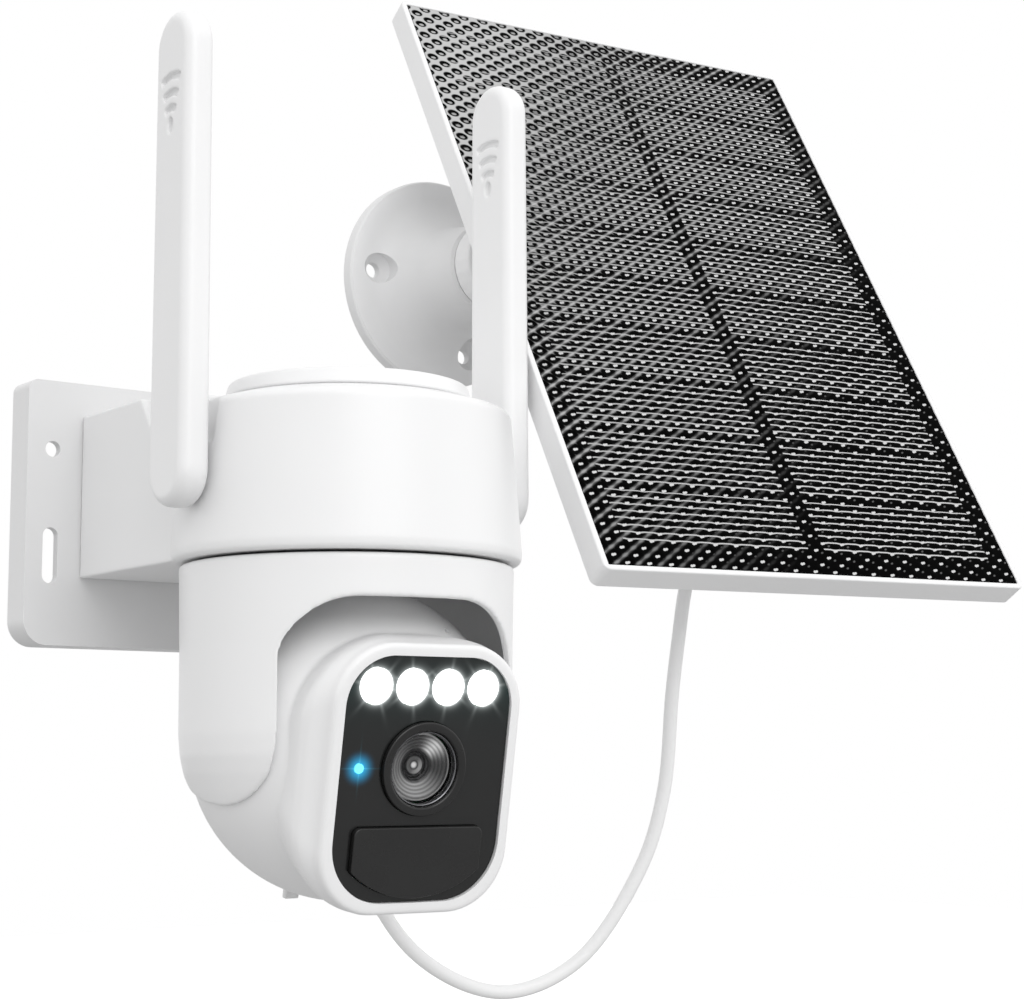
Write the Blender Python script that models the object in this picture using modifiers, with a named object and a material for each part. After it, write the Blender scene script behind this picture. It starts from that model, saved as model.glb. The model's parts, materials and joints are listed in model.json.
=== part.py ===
"""Solar-powered pan and tilt security camera, with its solar panel on a wall bracket of its own.

Metres, +Z up. The wall is the plane y = 0 and the camera looks along -Y. The origin is the centre of the
camera wall plate's back face. Left and right are the camera's as seen from the front: left is -X.
"""

import math

import bmesh
import bpy
from mathutils import Matrix, Vector

# ---------------------------------------------------------------- driving dimensions
GAP = 0.0003  # clearance between touching pieces

PLATE_WIDTH = 0.1306
PLATE_HEIGHT = 0.0840
PLATE_DEPTH = 0.0124
PLATE_CORNER = 0.0080
PLATE_FRONT_WALL = 0.0032
PLATE_SIDE_WALL = 0.0024
PLATE_END_WALL = 0.0090
PLATE_RIB = 0.0170

PAN_AXIS_Y = -0.0967
DRUM_BOTTOM = -0.0207  # lower edge of the drum; heights named _UP below are measured from it
DRUM_RADIUS = 0.0520
DRUM_TOP_RADIUS = 0.0489
DRUM_SIDE_UP = 0.0447
SHOULDER_UP = 0.0482
CAP_TOP_UP = 0.0535
CAP_RADIUS = 0.0372
CAP_TOP_RADIUS = 0.0358
NECK_HALF_WIDTH = 0.0470
NECK_TOP_UP = 0.0520
NECK_END_Y = -0.0720
HOUSING_WALL = 0.0028

ANTENNA_INNER_X = 0.0518
ANTENNA_THICKNESS = 0.0094  # at mid height, as is the width; both are a little larger at the foot
ANTENNA_WIDTH = 0.0215
ANTENNA_TAPER = 0.03
ANTENNA_BOTTOM_UP = 0.0133
ANTENNA_TOP_UP = 0.1584
ANTENNA_PIVOT_UP = 0.0240
ANTENNA_BOSS_RADIUS = 0.0046  # pivot boss in the drum's side, hidden behind the antenna's round foot

HEAD_PAN = math.radians(-4.0)
HEAD_TILT = math.radians(11.2)
TILT_AXIS_UP = -0.0518
BALL_RADIUS = 0.0463
SHELL_WALL = 0.0024

YOKE_TOP_RADIUS = 0.0495
YOKE_RADIUS = 0.0489
YOKE_CAVITY_RADIUS = 0.0466
YOKE_GAP = 0.0007  # shadow gap under the drum
YOKE_CEILING = 0.0030
ARCH_HALF_WIDTH = 0.0378
ARCH_TOP_UP = -0.0130
ARCH_CORNER_LEFT = 0.0180
ARCH_CORNER_RIGHT = 0.0260

FACE_WIDTH = 0.0522
FACE_HEIGHT = 0.0680
FACE_FRONT = 0.0454  # glossy face's distance from the tilt axis
FACE_CENTRE_UP = -0.0023
LENS_UP = 0.0007
RIM_WIDTH = 0.0037
LED_SPACING = 0.01135
LED_UP = 0.0233
LED_RADIUS = 0.0051
LENS_RING_RADIUS = 0.0131
LENS_GLASS_RADIUS = 0.0107

PAN_TEETH, PAN_PINION_TEETH, PAN_MODULE = 40, 14, 0.0012
TILT_TEETH, TILT_PINION_TEETH, TILT_MODULE = 30, 12, 0.0008
BACKLASH = 0.00025

FLANGE_CENTRE = Vector((0.0967, 0.0, 0.0958))
FLANGE_RADIUS = 0.0385
FLANGE_DEPTH = 0.0060
FLANGE_HOLES = (175.7, -64.3, 55.7)  # degrees round the flange
FLANGE_HOLE_RING = 0.0278
TRUMPET_RADIUS = 0.0160
TRUMPET_END_Y = -0.0360

PANEL_CENTRE = Vector((0.1503, -0.0900, 0.0869))  # middle of the glass face
PANEL_YAW = math.radians(-5.5)
PANEL_TILT = math.radians(-29.95)  # about the panel's own sideways axis, top towards the wall
PANEL_ROLL = math.radians(-0.6)
PANEL_WIDTH = 0.1720
PANEL_HEIGHT = 0.2500
PANEL_DEPTH = 0.0092
GLASS_WIDTH = 0.1679
GLASS_HEIGHT = 0.2459
HINGE_BEHIND_GLASS = 0.0220
HINGE_ABOVE_CENTRE = 0.0230
TURN_BEHIND_HINGE = 0.0185

CABLE_RADIUS = 0.0023

# ---------------------------------------------------------------- places worked out from them
PAN_POINT = Vector((0.0, PAN_AXIS_Y, DRUM_BOTTOM))
TILT_POINT = Vector((0.0, PAN_AXIS_Y, DRUM_BOTTOM + TILT_AXIS_UP))
FACE_SPIN = Matrix.Rotation(PANEL_YAW, 4, "Z") @ Matrix.Rotation(PANEL_TILT, 4, "X")
TILT_HINGE = PANEL_CENTRE + FACE_SPIN @ Vector((0.0, HINGE_BEHIND_GLASS, HINGE_ABOVE_CENTRE))
TURN_POINT = TILT_HINGE + Matrix.Rotation(PANEL_YAW, 4, "Z") @ Vector((0.0, TURN_BEHIND_HINGE, 0.0))

for old in list(bpy.data.objects):
    bpy.data.objects.remove(old, do_unlink=True)

CAMERA = bpy.data.collections.new("solar_security_camera")
CUTTERS = bpy.data.collections.new("cutters")
bpy.context.scene.collection.children.link(CAMERA)
bpy.context.scene.collection.children.link(CUTTERS)


# ---------------------------------------------------------------- materials
def material(name, colour, roughness, metallic=0.0):
    mat = bpy.data.materials.new(name)
    mat.use_nodes = True
    shader = mat.node_tree.nodes["Principled BSDF"]
    shader.inputs["Base Color"].default_value = (*colour, 1.0)
    shader.inputs["Roughness"].default_value = roughness
    shader.inputs["Metallic"].default_value = metallic
    return mat


WHITE = material("white_plastic", (0.84, 0.84, 0.84), 0.35)
GLOSS_BLACK = material("gloss_black", (0.035, 0.035, 0.036), 0.12)
BLACK = material("black_plastic", (0.02, 0.02, 0.02), 0.45)
RUBBER = material("white_rubber", (0.78, 0.78, 0.78), 0.7)
STEEL = material("steel", (0.6, 0.6, 0.6), 0.3, 1.0)
BRASS = material("brass", (0.75, 0.55, 0.2), 0.35, 1.0)
GREEN = material("circuit_board", (0.02, 0.18, 0.07), 0.5)
GEAR = material("gear_plastic", (0.75, 0.73, 0.68), 0.45)
GLASS = material("glass", (0.05, 0.06, 0.07), 0.03)
LAMP = material("lamp_lens", (0.95, 0.97, 1.0), 0.2)
BLUE = material("status_lamp", (0.05, 0.45, 0.9), 0.2)
CELLS = material("solar_cells", (0.01, 0.01, 0.012), 0.2)
WRAP = material("battery_wrap", (0.05, 0.2, 0.55), 0.4)


# ---------------------------------------------------------------- modelling helpers
def pivot(name, at, parent=None, turn=(0.0, 0.0, 0.0)):
    """An empty on a joint's axis."""
    empty = bpy.data.objects.new(name, None)
    empty.location = at
    empty.rotation_euler = turn
    empty.parent = parent
    CAMERA.objects.link(empty)
    return empty


def place(obj, mat, at=(0.0, 0.0, 0.0), turn=(0.0, 0.0, 0.0), parent=None, cutter=False):
    obj.location = at
    obj.rotation_euler = turn
    obj.parent = parent
    if mat:
        obj.data.materials.append(mat)
    (CUTTERS if cutter else CAMERA).objects.link(obj)
    if cutter:
        obj.hide_render = True
        obj.display_type = "WIRE"
    return obj


def mesh_object(name, bm):
    mesh = bpy.data.meshes.new(name)
    bmesh.ops.recalc_face_normals(bm, faces=bm.faces)
    bm.to_mesh(mesh)
    bm.free()
    mesh.shade_smooth()
    mesh.set_sharp_from_angle(angle=math.radians(35))
    return bpy.data.objects.new(name, mesh)


def bevel(obj, width, segments=2, angle=40.0):
    mod = obj.modifiers.new("rounded_edges", "BEVEL")
    mod.width = width
    mod.segments = segments
    mod.limit_method = "ANGLE"
    mod.angle_limit = math.radians(angle)
    mod.harden_normals = False
    return obj


def block(name, size, mat, rounding=0.0, segments=2, **where):
    bm = bmesh.new()
    bmesh.ops.create_cube(bm, size=1.0)
    bmesh.ops.scale(bm, vec=size, verts=bm.verts)
    obj = place(mesh_object(name, bm), mat, **where)
    return bevel(obj, rounding, segments) if rounding else obj


AXIS_TURN = {"x": (0.0, math.pi / 2, 0.0), "y": (math.pi / 2, 0.0, 0.0), "z": (0.0, 0.0, 0.0)}


def rod(name, radius, length, mat, axis="z", segments=24, end_radius=None, rounding=0.0, **where):
    """A cylinder or cone centred on its place, along an axis of its parent."""
    bm = bmesh.new()
    bmesh.ops.create_cone(
        bm, cap_ends=True, segments=segments, radius1=radius, depth=length,
        radius2=radius if end_radius is None else end_radius,
    )
    where.setdefault("turn", AXIS_TURN[axis])
    obj = place(mesh_object(name, bm), mat, **where)
    return bevel(obj, rounding) if rounding else obj


def ball(name, radius, mat, segments=40, **where):
    bm = bmesh.new()
    bmesh.ops.create_uvsphere(bm, u_segments=segments, v_segments=segments // 2, radius=radius)
    return place(mesh_object(name, bm), mat, **where)


def turned(name, profile, mat, axis="z", steps=32, ring=False, **where):
    """A turned shape. The profile runs from the top down its outer side, as (radius, height)."""
    mesh = bpy.data.meshes.new(name)
    edges = [(i, i + 1) for i in range(len(profile) - 1)]
    if ring:
        edges.append((len(profile) - 1, 0))
    mesh.from_pydata([(r, 0.0, z) for r, z in profile], edges, [])
    obj = bpy.data.objects.new(name, mesh)
    screw = obj.modifiers.new("turn", "SCREW")
    screw.steps = steps
    screw.render_steps = steps
    screw.use_merge_vertices = True
    screw.merge_threshold = 0.00001
    screw.use_smooth_shade = True
    where.setdefault("turn", AXIS_TURN[axis])
    return place(obj, mat, **where)


def ring(name, inner, outer, length, mat, **where):
    half = length / 2
    profile = [(inner, half), (outer, half), (outer, -half), (inner, -half)]
    return turned(name, profile, mat, ring=True, **where)


def arc(centre, radius, start, end, steps, squash=1.0):
    """Points on an arc, in degrees; squash scales its height."""
    points = []
    for i in range(steps + 1):
        angle = math.radians(start + (end - start) * i / steps)
        points.append((centre[0] + radius * math.cos(angle), centre[1] + squash * radius * math.sin(angle)))
    return points


def rounded_outline(width, height, top_radius, bottom_radius, steps=6):
    w, h = width / 2, height / 2
    a, b = top_radius, bottom_radius
    return (
        arc((w - a, h - a), a, 0, 90, steps)
        + arc((a - w, h - a), a, 90, 180, steps)
        + arc((b - w, b - h), b, 180, 270, steps)
        + arc((w - b, b - h), b, 270, 360, steps)
    )


def outline_solid(name, outline, thickness, mat, axis="y", holes=(), **where):
    """A flat outline (with any holes) given thickness. Along y the outline's second axis is up."""
    curve = bpy.data.curves.new(name, "CURVE")
    curve.dimensions = "2D"
    curve.fill_mode = "BOTH"
    curve.extrude = thickness / 2
    for loop in (outline, *holes):
        spline = curve.splines.new("POLY")
        spline.points.add(len(loop) - 1)
        for point, (u, v) in zip(spline.points, loop):
            point.co = (u, v, 0.0, 1.0)
        spline.use_cyclic_u = True
    drawn = bpy.data.objects.new(name + "_outline", curve)
    CUTTERS.objects.link(drawn)
    graph = bpy.context.evaluated_depsgraph_get()
    mesh = bpy.data.meshes.new_from_object(drawn.evaluated_get(graph))
    bpy.data.objects.remove(drawn, do_unlink=True)
    bm = bmesh.new()
    bm.from_mesh(mesh)
    bmesh.ops.remove_doubles(bm, verts=bm.verts, dist=0.00001)
    bmesh.ops.dissolve_limit(bm, angle_limit=0.001, verts=bm.verts, edges=bm.edges)
    where.setdefault("turn", AXIS_TURN[axis])
    return place(mesh_object(name, bm), mat, **where)


def shape_with(obj, tool, operation="DIFFERENCE"):
    mod = obj.modifiers.new(tool.name, "BOOLEAN")
    mod.operation = operation
    mod.object = tool
    mod.solver = "EXACT"
    return obj


def joined(name, *pieces):
    """Overlapping pieces made one body: the first is the part, the others become its guides."""
    base = pieces[0]
    base.name = name
    for piece in pieces[1:]:
        CAMERA.objects.unlink(piece)
        CUTTERS.objects.link(piece)
        piece.hide_render = True
        piece.display_type = "WIRE"
        shape_with(base, piece, "UNION")
    return base


def loft(name, sections, mat, **where):
    """A closed skin over loops of equal length, capped at both ends."""
    bm = bmesh.new()
    loops = [[bm.verts.new(p) for p in section] for section in sections]
    count = len(loops[0])
    for low, high in zip(loops, loops[1:]):
        for i in range(count):
            j = (i + 1) % count
            bm.faces.new((low[i], low[j], high[j], high[i]))
    bm.faces.new(loops[0])
    bm.faces.new(loops[-1])
    return place(mesh_object(name, bm), mat, **where)


def gear_outline(teeth, module, phase):
    """Teeth with straight flanks: root, pitch-line thickness less the backlash, and a narrower tip."""
    pitch = teeth * module / 2
    root, tip = pitch - 1.15 * module, pitch + 0.9 * module
    half = (math.pi * module / 2 - BACKLASH) / 2
    points = []
    for tooth in range(teeth):
        middle = phase + 2 * math.pi * tooth / teeth
        for radius, width in ((root, half * 1.42), (tip, half * 0.58)):
            points.append((radius, middle - width / radius))
        for radius, width in ((tip, half * 0.58), (root, half * 1.42)):
            points.append((radius, middle + width / radius))
    return [(r * math.cos(a), r * math.sin(a)) for r, a in points]


def circle(radius, centre=(0.0, 0.0), steps=16):
    return arc(centre, radius, 0, 360 - 360 / steps, steps - 1)


# ---------------------------------------------------------------- camera housing, fixed to the wall
def make_wall_plate():
    hole_x, hole_z = 0.0568, 0.0201
    slot_x, slot_low, slot_high, slot_radius = 0.0570, -0.0200, -0.0074, 0.0025
    holes = []
    for side in (-1, 1):
        holes.append(circle(0.0025, (side * hole_x, hole_z)))
        slot = arc((side * slot_x, slot_high), slot_radius, 0, 180, 7)
        slot += arc((side * slot_x, slot_low), slot_radius, 180, 360, 7)
        holes.append(slot)
    outline = rounded_outline(PLATE_WIDTH, PLATE_HEIGHT, 0.003, PLATE_CORNER)
    plate = outline_solid(
        "wall_plate", outline, PLATE_DEPTH, WHITE, holes=holes, at=(0.0, -PLATE_DEPTH / 2, 0.0)
    )
    pocket_width = (PLATE_WIDTH - PLATE_RIB) / 2 - PLATE_SIDE_WALL
    pocket_size = (pocket_width, 2 * (PLATE_DEPTH - PLATE_FRONT_WALL), PLATE_HEIGHT - 2 * PLATE_END_WALL)
    for side in (-1, 1):
        pocket_middle = (side * (PLATE_RIB + pocket_width) / 2, 0.0, 0.0)
        pocket = block(f"plate_pocket_{side}", pocket_size, None, at=pocket_middle, cutter=True)
        shape_with(plate, pocket)


def drum_profile():
    lip = 0.0030
    return (
        [(0.0, SHOULDER_UP), (CAP_RADIUS + 0.0006, SHOULDER_UP)]
        + [(DRUM_TOP_RADIUS - 0.0014, DRUM_SIDE_UP + 0.0007), (DRUM_TOP_RADIUS, DRUM_SIDE_UP - 0.0010)]
        + [(DRUM_RADIUS, lip), (DRUM_RADIUS - 0.0004, 0.0010), (DRUM_RADIUS - 0.0016, 0.0), (0.0, 0.0)]
    )


def make_housing():
    neck_length = -PLATE_DEPTH - GAP - NECK_END_Y
    neck_middle = (-PLATE_DEPTH - GAP + NECK_END_Y) / 2
    housing = turned("main_housing", drum_profile(), WHITE, steps=48, at=PAN_POINT)
    neck_low, web_low, web_high = 0.0003, 0.0006, 0.0437
    neck = block(
        "neck", (2 * NECK_HALF_WIDTH, neck_length, NECK_TOP_UP - neck_low), WHITE, rounding=0.002,
        at=(0.0, neck_middle, DRUM_BOTTOM + (NECK_TOP_UP + neck_low) / 2),
    )
    web = block(
        "neck_web", (2 * NECK_HALF_WIDTH - 0.0002, 0.045, web_high - web_low), WHITE,
        at=(0.0, NECK_END_Y - 0.012, DRUM_BOTTOM + (web_high + web_low) / 2),
    )
    joined("main_housing", housing, web, neck)
    wall = HOUSING_WALL
    cap_seat = rod(
        "cap_seat", CAP_RADIUS + 0.0005, 0.02, None, segments=32,
        at=PAN_POINT + Vector((0, 0, SHOULDER_UP + 0.01015)), cutter=True,
    )
    wide, narrow, step_up = DRUM_TOP_RADIUS - wall, DRUM_TOP_RADIUS - wall - 0.0015, 0.0280
    hollow_low, hollow_top = -0.001, DRUM_SIDE_UP - 0.0045
    hollow_profile = [
        (0.0, hollow_top), (narrow, hollow_top), (narrow, step_up),
        (wide, step_up), (wide, hollow_low), (0.0, hollow_low),
    ]
    drum_hollow = turned("drum_hollow", hollow_profile, None, steps=40, at=PAN_POINT, cutter=True)
    top_opening = rod("top_opening", 0.0300, 0.02, None, segments=30, cutter=True,
                      at=PAN_POINT + Vector((0, 0, SHOULDER_UP)))
    hollow_height = NECK_TOP_UP - 2 * wall
    neck_hollow = block(
        "neck_hollow", (2 * (NECK_HALF_WIDTH - wall), 0.070, hollow_height - 0.004), None,
        at=(0.0, -0.0455, DRUM_BOTTOM + wall + (hollow_height - 0.004) / 2), cutter=True,
    )
    gland_hole = rod("gland_hole", 0.0046, 0.02, None, at=(0.020, -0.033, DRUM_BOTTOM), cutter=True)
    pivot_hole = rod(
        "pivot_hole", ANTENNA_BOSS_RADIUS + GAP, 0.12, None, axis="x",
        at=(0.0, PAN_AXIS_Y, DRUM_BOTTOM + ANTENNA_PIVOT_UP), cutter=True,
    )
    for tool in (cap_seat, drum_hollow, top_opening, neck_hollow, gland_hole, pivot_hole):
        shape_with(housing, tool)
    for side in (-1, 1):
        shape_with(housing, antenna_pocket(side))


def antenna_pocket(side):
    """A tapered recess behind each antenna, deepest at the top, wider towards the wall."""
    sections = []
    for up, floor, front, back in ((0.0325, 0.0479, -0.0060, 0.0300), (0.0560, 0.0435, -0.0080, 0.0465)):
        corners = ((floor, front), (0.0600, front), (0.0600, back), (floor, back))
        z = DRUM_BOTTOM + up
        sections.append([Vector((side * x, PAN_AXIS_Y + y, z)) for x, y in corners])
    return loft(f"antenna_pocket_{'right' if side > 0 else 'left'}", sections, None, cutter=True)


def make_top_cap():
    base = SHOULDER_UP + GAP
    profile = [
        (0.0, CAP_TOP_UP), (CAP_TOP_RADIUS - 0.0012, CAP_TOP_UP), (CAP_TOP_RADIUS, CAP_TOP_UP - 0.0008),
        (CAP_RADIUS, base), (0.029, base), (0.029, base + 0.0025), (0.0, base + 0.0025),
    ]
    turned("top_cap", profile, WHITE, steps=40, at=PAN_POINT)


def make_drum_inside():
    floor_low, floor_high = 0.0008, 0.0030
    ring("drum_floor", 0.0160, 0.0457, floor_high - floor_low, WHITE,
         at=PAN_POINT + Vector((0, 0, (floor_low + floor_high) / 2)))
    ring("pan_bush", 0.0123, 0.0157, 0.0030, BRASS, steps=32, at=PAN_POINT + Vector((0, 0, 0.0019)))
    for number, (y, up) in enumerate(((-0.0275, 0.0135), (-0.0275, 0.0325), (-0.1160, 0.0215)), 1):
        rod(f"battery_cell_{number}", 0.0092, 0.0650, WRAP, axis="x",
            at=(0.0, y, DRUM_BOTTOM + up))
    board = block("main_board", (0.058, 0.050, 0.0016), GREEN, at=PAN_POINT + Vector((0, 0.008, 0.0360)))
    chip = block("main_chip", (0.016, 0.016, 0.0016), BLACK, at=PAN_POINT + Vector((-0.008, 0, 0.0375)))
    plug = block("main_plug", (0.012, 0.006, 0.0040), WHITE, at=PAN_POINT + Vector((0.018, 0.022, 0.0385)))
    joined("main_board", board, chip, plug)
    cone = rod("speaker", 0.0140, 0.0030, BLACK, at=PAN_POINT + Vector((0, -0.006, 0.0455)))
    magnet = rod("speaker_magnet", 0.0070, 0.0035, STEEL, at=PAN_POINT + Vector((0, -0.006, 0.0425)))
    joined("speaker", cone, magnet)
    for side, word in ((-1, "left"), (1, "right")):
        boss = rod(
            f"antenna_pivot_{word}", ANTENNA_BOSS_RADIUS, 0.0070, STEEL, axis="x",
            at=(side * 0.0479, PAN_AXIS_Y, DRUM_BOTTOM + ANTENNA_PIVOT_UP),
        )
        pin = rod(
            f"antenna_pin_{word}", 0.0026, 0.0100, STEEL, axis="x", segments=20,
            at=(side * 0.0523, PAN_AXIS_Y, DRUM_BOTTOM + ANTENNA_PIVOT_UP),
        )
        joined(f"antenna_pivot_{word}", boss, pin)
    bore = CABLE_RADIUS + 0.0010
    turned(
        "cable_gland",
        [(bore, 0.0034), (0.0043, 0.0034), (0.0043, -GAP), (0.0066, -GAP), (0.0066, -0.0036),
         (0.0044, -0.0080), (bore, -0.0080)],
        RUBBER, steps=24, ring=True, at=(0.020, -0.033, DRUM_BOTTOM),
    )


def make_pan_drive(yoke_pivot):
    distance = (PAN_TEETH + PAN_PINION_TEETH) * PAN_MODULE / 2 + 0.0001
    thickness = 0.0040
    outline_solid(
        "pan_gear", gear_outline(PAN_TEETH, PAN_MODULE, math.pi / 2 - HEAD_PAN), thickness, GEAR, axis="z",
        holes=[circle(0.0123, steps=32)], at=(0.0, 0.0, 0.0062), parent=yoke_pivot,
    )
    pinion_pivot = pivot("pan_pinion_axis", PAN_POINT + Vector((0, distance, 0)))
    half_tooth = math.pi / PAN_PINION_TEETH
    outline_solid(
        "pan_pinion", gear_outline(PAN_PINION_TEETH, PAN_MODULE, -math.pi / 2 + half_tooth), thickness,
        BRASS, axis="z", holes=[circle(0.0028, steps=16)], at=(0.0, 0.0, 0.0062), parent=pinion_pivot,
    )
    motor = rod("pan_stepper", 0.0140, 0.0185, STEEL, at=PAN_POINT + Vector((0, distance, 0.0190)))
    shaft = rod("pan_shaft", 0.0025, 0.0060, STEEL, segments=16,
                at=PAN_POINT + Vector((0, distance, 0.0070)))
    joined("pan_stepper", motor, shaft)


# ---------------------------------------------------------------- antennas
def make_antennas():
    length = ANTENNA_TOP_UP - ANTENNA_BOTTOM_UP
    below = ANTENNA_PIVOT_UP - ANTENNA_BOTTOM_UP
    for side, word in ((-1, "left"), (1, "right")):
        hinge = pivot(
            f"antenna_{word}_axis",
            (side * (ANTENNA_INNER_X + ANTENNA_THICKNESS / 2), PAN_AXIS_Y, DRUM_BOTTOM + ANTENNA_PIVOT_UP),
        )
        end, straight = ANTENNA_WIDTH / 2, length / 2 - ANTENNA_WIDTH / 2
        outline = arc((0.0, straight), end, 0, 180, 12) + arc((0.0, -straight), end, 180, 360, 12)
        mast = outline_solid(
            f"antenna_{word}", outline, ANTENNA_THICKNESS, WHITE,
            turn=(math.pi / 2, 0.0, math.pi / 2), at=(0.0, 0.0, length / 2 - below), parent=hinge,
        )
        bevel(mast, 0.0032)
        for vertex in mast.data.vertices:
            grow = 1 - ANTENNA_TAPER * vertex.co.y / (length / 2)
            vertex.co.x *= grow
            vertex.co.z *= grow
        bore = rod(
            f"antenna_bore_{word}", 0.0029, 0.0064, None, axis="x", segments=20,
            at=(-side * (ANTENNA_THICKNESS / 2 - 0.0026), 0.0, 0.0), parent=hinge, cutter=True,
        )
        shape_with(mast, bore)


# ---------------------------------------------------------------- yoke, turns under the drum
def make_yoke(yoke_pivot):
    axis_up = TILT_AXIS_UP
    outside = [
        (0.0, -YOKE_GAP), (YOKE_TOP_RADIUS - 0.0006, -YOKE_GAP), (YOKE_TOP_RADIUS, -YOKE_GAP - 0.0006),
        (YOKE_RADIUS + 0.0001, -0.0250), (YOKE_RADIUS, -0.0500), (YOKE_RADIUS - 0.0005, -0.0560),
        (0.0473, -0.0610), (0.0457, -0.0660), (0.0440, -0.0702), (0.0, -0.0702),
    ]
    yoke = turned("yoke_shell", outside, WHITE, steps=48, parent=yoke_pivot)
    ceiling_to_axis = -YOKE_CEILING - axis_up
    inside = [(0.0, ceiling_to_axis)] + [
        (r, z) for r, z in [(YOKE_CAVITY_RADIUS, ceiling_to_axis)] + arc((0.0, 0.0), YOKE_CAVITY_RADIUS, 0, -84, 14)
    ] + [(0.0, -YOKE_CAVITY_RADIUS)]
    room = turned("yoke_room", inside, None, steps=44, parent=yoke_pivot, at=(0.0, 0.0, axis_up), cutter=True)
    left, right, low = ARCH_CORNER_LEFT, ARCH_CORNER_RIGHT, -0.0900
    arch = (
        arc((ARCH_HALF_WIDTH - right, ARCH_TOP_UP - right), right, 0, 90, 8)
        + arc((left - ARCH_HALF_WIDTH, ARCH_TOP_UP - left), left, 90, 180, 8)
        + [(-ARCH_HALF_WIDTH, low), (ARCH_HALF_WIDTH, low)]
    )
    arch_cut = outline_solid("arch_cut", arch, 0.12, None, parent=yoke_pivot, cutter=True)
    # Side view of an arm: straight front edge, then a lopsided elliptical end
    front, back, middle, spring_up, drop = 0.0312, -0.0290, 0.0090, -0.0470, 0.0230
    end = [(0.060, spring_up), (front, spring_up)]
    for i in range(1, 16):
        angle = math.pi * i / 16
        reach = front - middle if math.cos(angle) > 0 else middle - back
        end.append((middle + reach * math.cos(angle), spring_up - drop * math.sin(angle)))
    end += [(back, spring_up), (-0.060, spring_up), (-0.060, 0.010), (0.060, 0.010)]
    arm_keep = outline_solid(
        "arm_keep", end, 0.12, None, turn=(math.pi / 2, 0.0, -math.pi / 2), parent=yoke_pivot, cutter=True
    )
    axle_hole = rod("axle_hole", 0.0043, 0.0956, None, axis="x", parent=yoke_pivot,
                    at=(0.0, 0.0, axis_up), cutter=True)
    shape_with(yoke, room)
    shape_with(yoke, arch_cut)
    shape_with(yoke, arm_keep, "INTERSECT")
    shape_with(yoke, axle_hole)
    hub = rod("yoke_hub", 0.0120, 0.0125, WHITE, segments=32, parent=yoke_pivot, at=(0.0, 0.0, 0.0040))
    joined("yoke_shell", yoke, hub)
    wire_way = rod("yoke_wire_way", 0.0070, 0.03, None, parent=yoke_pivot, at=(0.0, 0.0, 0.004), cutter=True)
    shape_with(yoke, wire_way)


def make_tilt_axles(axle_pivot):
    for side, word in ((-1, "left"), (1, "right")):
        rod(f"tilt_axle_{word}", 0.0040, 0.0165, STEEL, axis="x", segments=24, parent=axle_pivot,
            at=(side * 0.03905, 0.0, 0.0))
    mesh_angle = math.radians(45) + HEAD_TILT
    outline_solid(
        "tilt_gear", gear_outline(TILT_TEETH, TILT_MODULE, mesh_angle), 0.0034, GEAR,
        turn=(math.pi / 2, 0.0, math.pi / 2), holes=[circle(0.0043, steps=24)],
        at=(-0.0350, 0.0, 0.0), parent=axle_pivot,
    )


# ---------------------------------------------------------------- head, tilts in the yoke
def head_section(reach, half_width, half_height, corner, steps=4):
    """One upright section of the head's front, at a distance in front of the tilt axis."""
    outline = rounded_outline(2 * half_width, 2 * half_height, corner, corner, steps)
    return [Vector((x, -reach, z + FACE_CENTRE_UP)) for x, z in outline]


def snout(name, inset, mat, head, **where):
    """The head's front: a rounded frame round the face that flares out into two cheeks behind it."""
    half_w = FACE_WIDTH / 2 + RIM_WIDTH
    half_h = FACE_HEIGHT / 2 + RIM_WIDTH
    front = FACE_FRONT + 0.0009
    sections = [
        head_section(front - inset, half_w - 0.0008 - inset, half_h - 0.0008 - inset, 0.0172),
        head_section(front - 0.0010 - inset, half_w - inset, half_h - inset, 0.0178),
        head_section(front - 0.0034, half_w + 0.0003 - inset, half_h + 0.0001 - inset, 0.0182),
        head_section(front - 0.0052, half_w + 0.0012 - inset, half_h + 0.0004 - inset, 0.0190),
        head_section(front - 0.0078, half_w + 0.0031 - inset, half_h + 0.0007 - inset, 0.0220),
        head_section(front - 0.0105, half_w + 0.0041 - inset, half_h + 0.0008 - inset, 0.0245),
        head_section(front - 0.0150, half_w + 0.0046 - inset, half_h + 0.0006 - inset, 0.0280),
        head_section(front - 0.0230, half_w + 0.0046 - inset, half_h - 0.0004 - inset, 0.0310),
        head_section(front - 0.0330, half_w + 0.0042 - inset, half_h - 0.0020 - inset, 0.0320),
    ]
    return loft(name, sections, mat, parent=head, **where)


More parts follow.
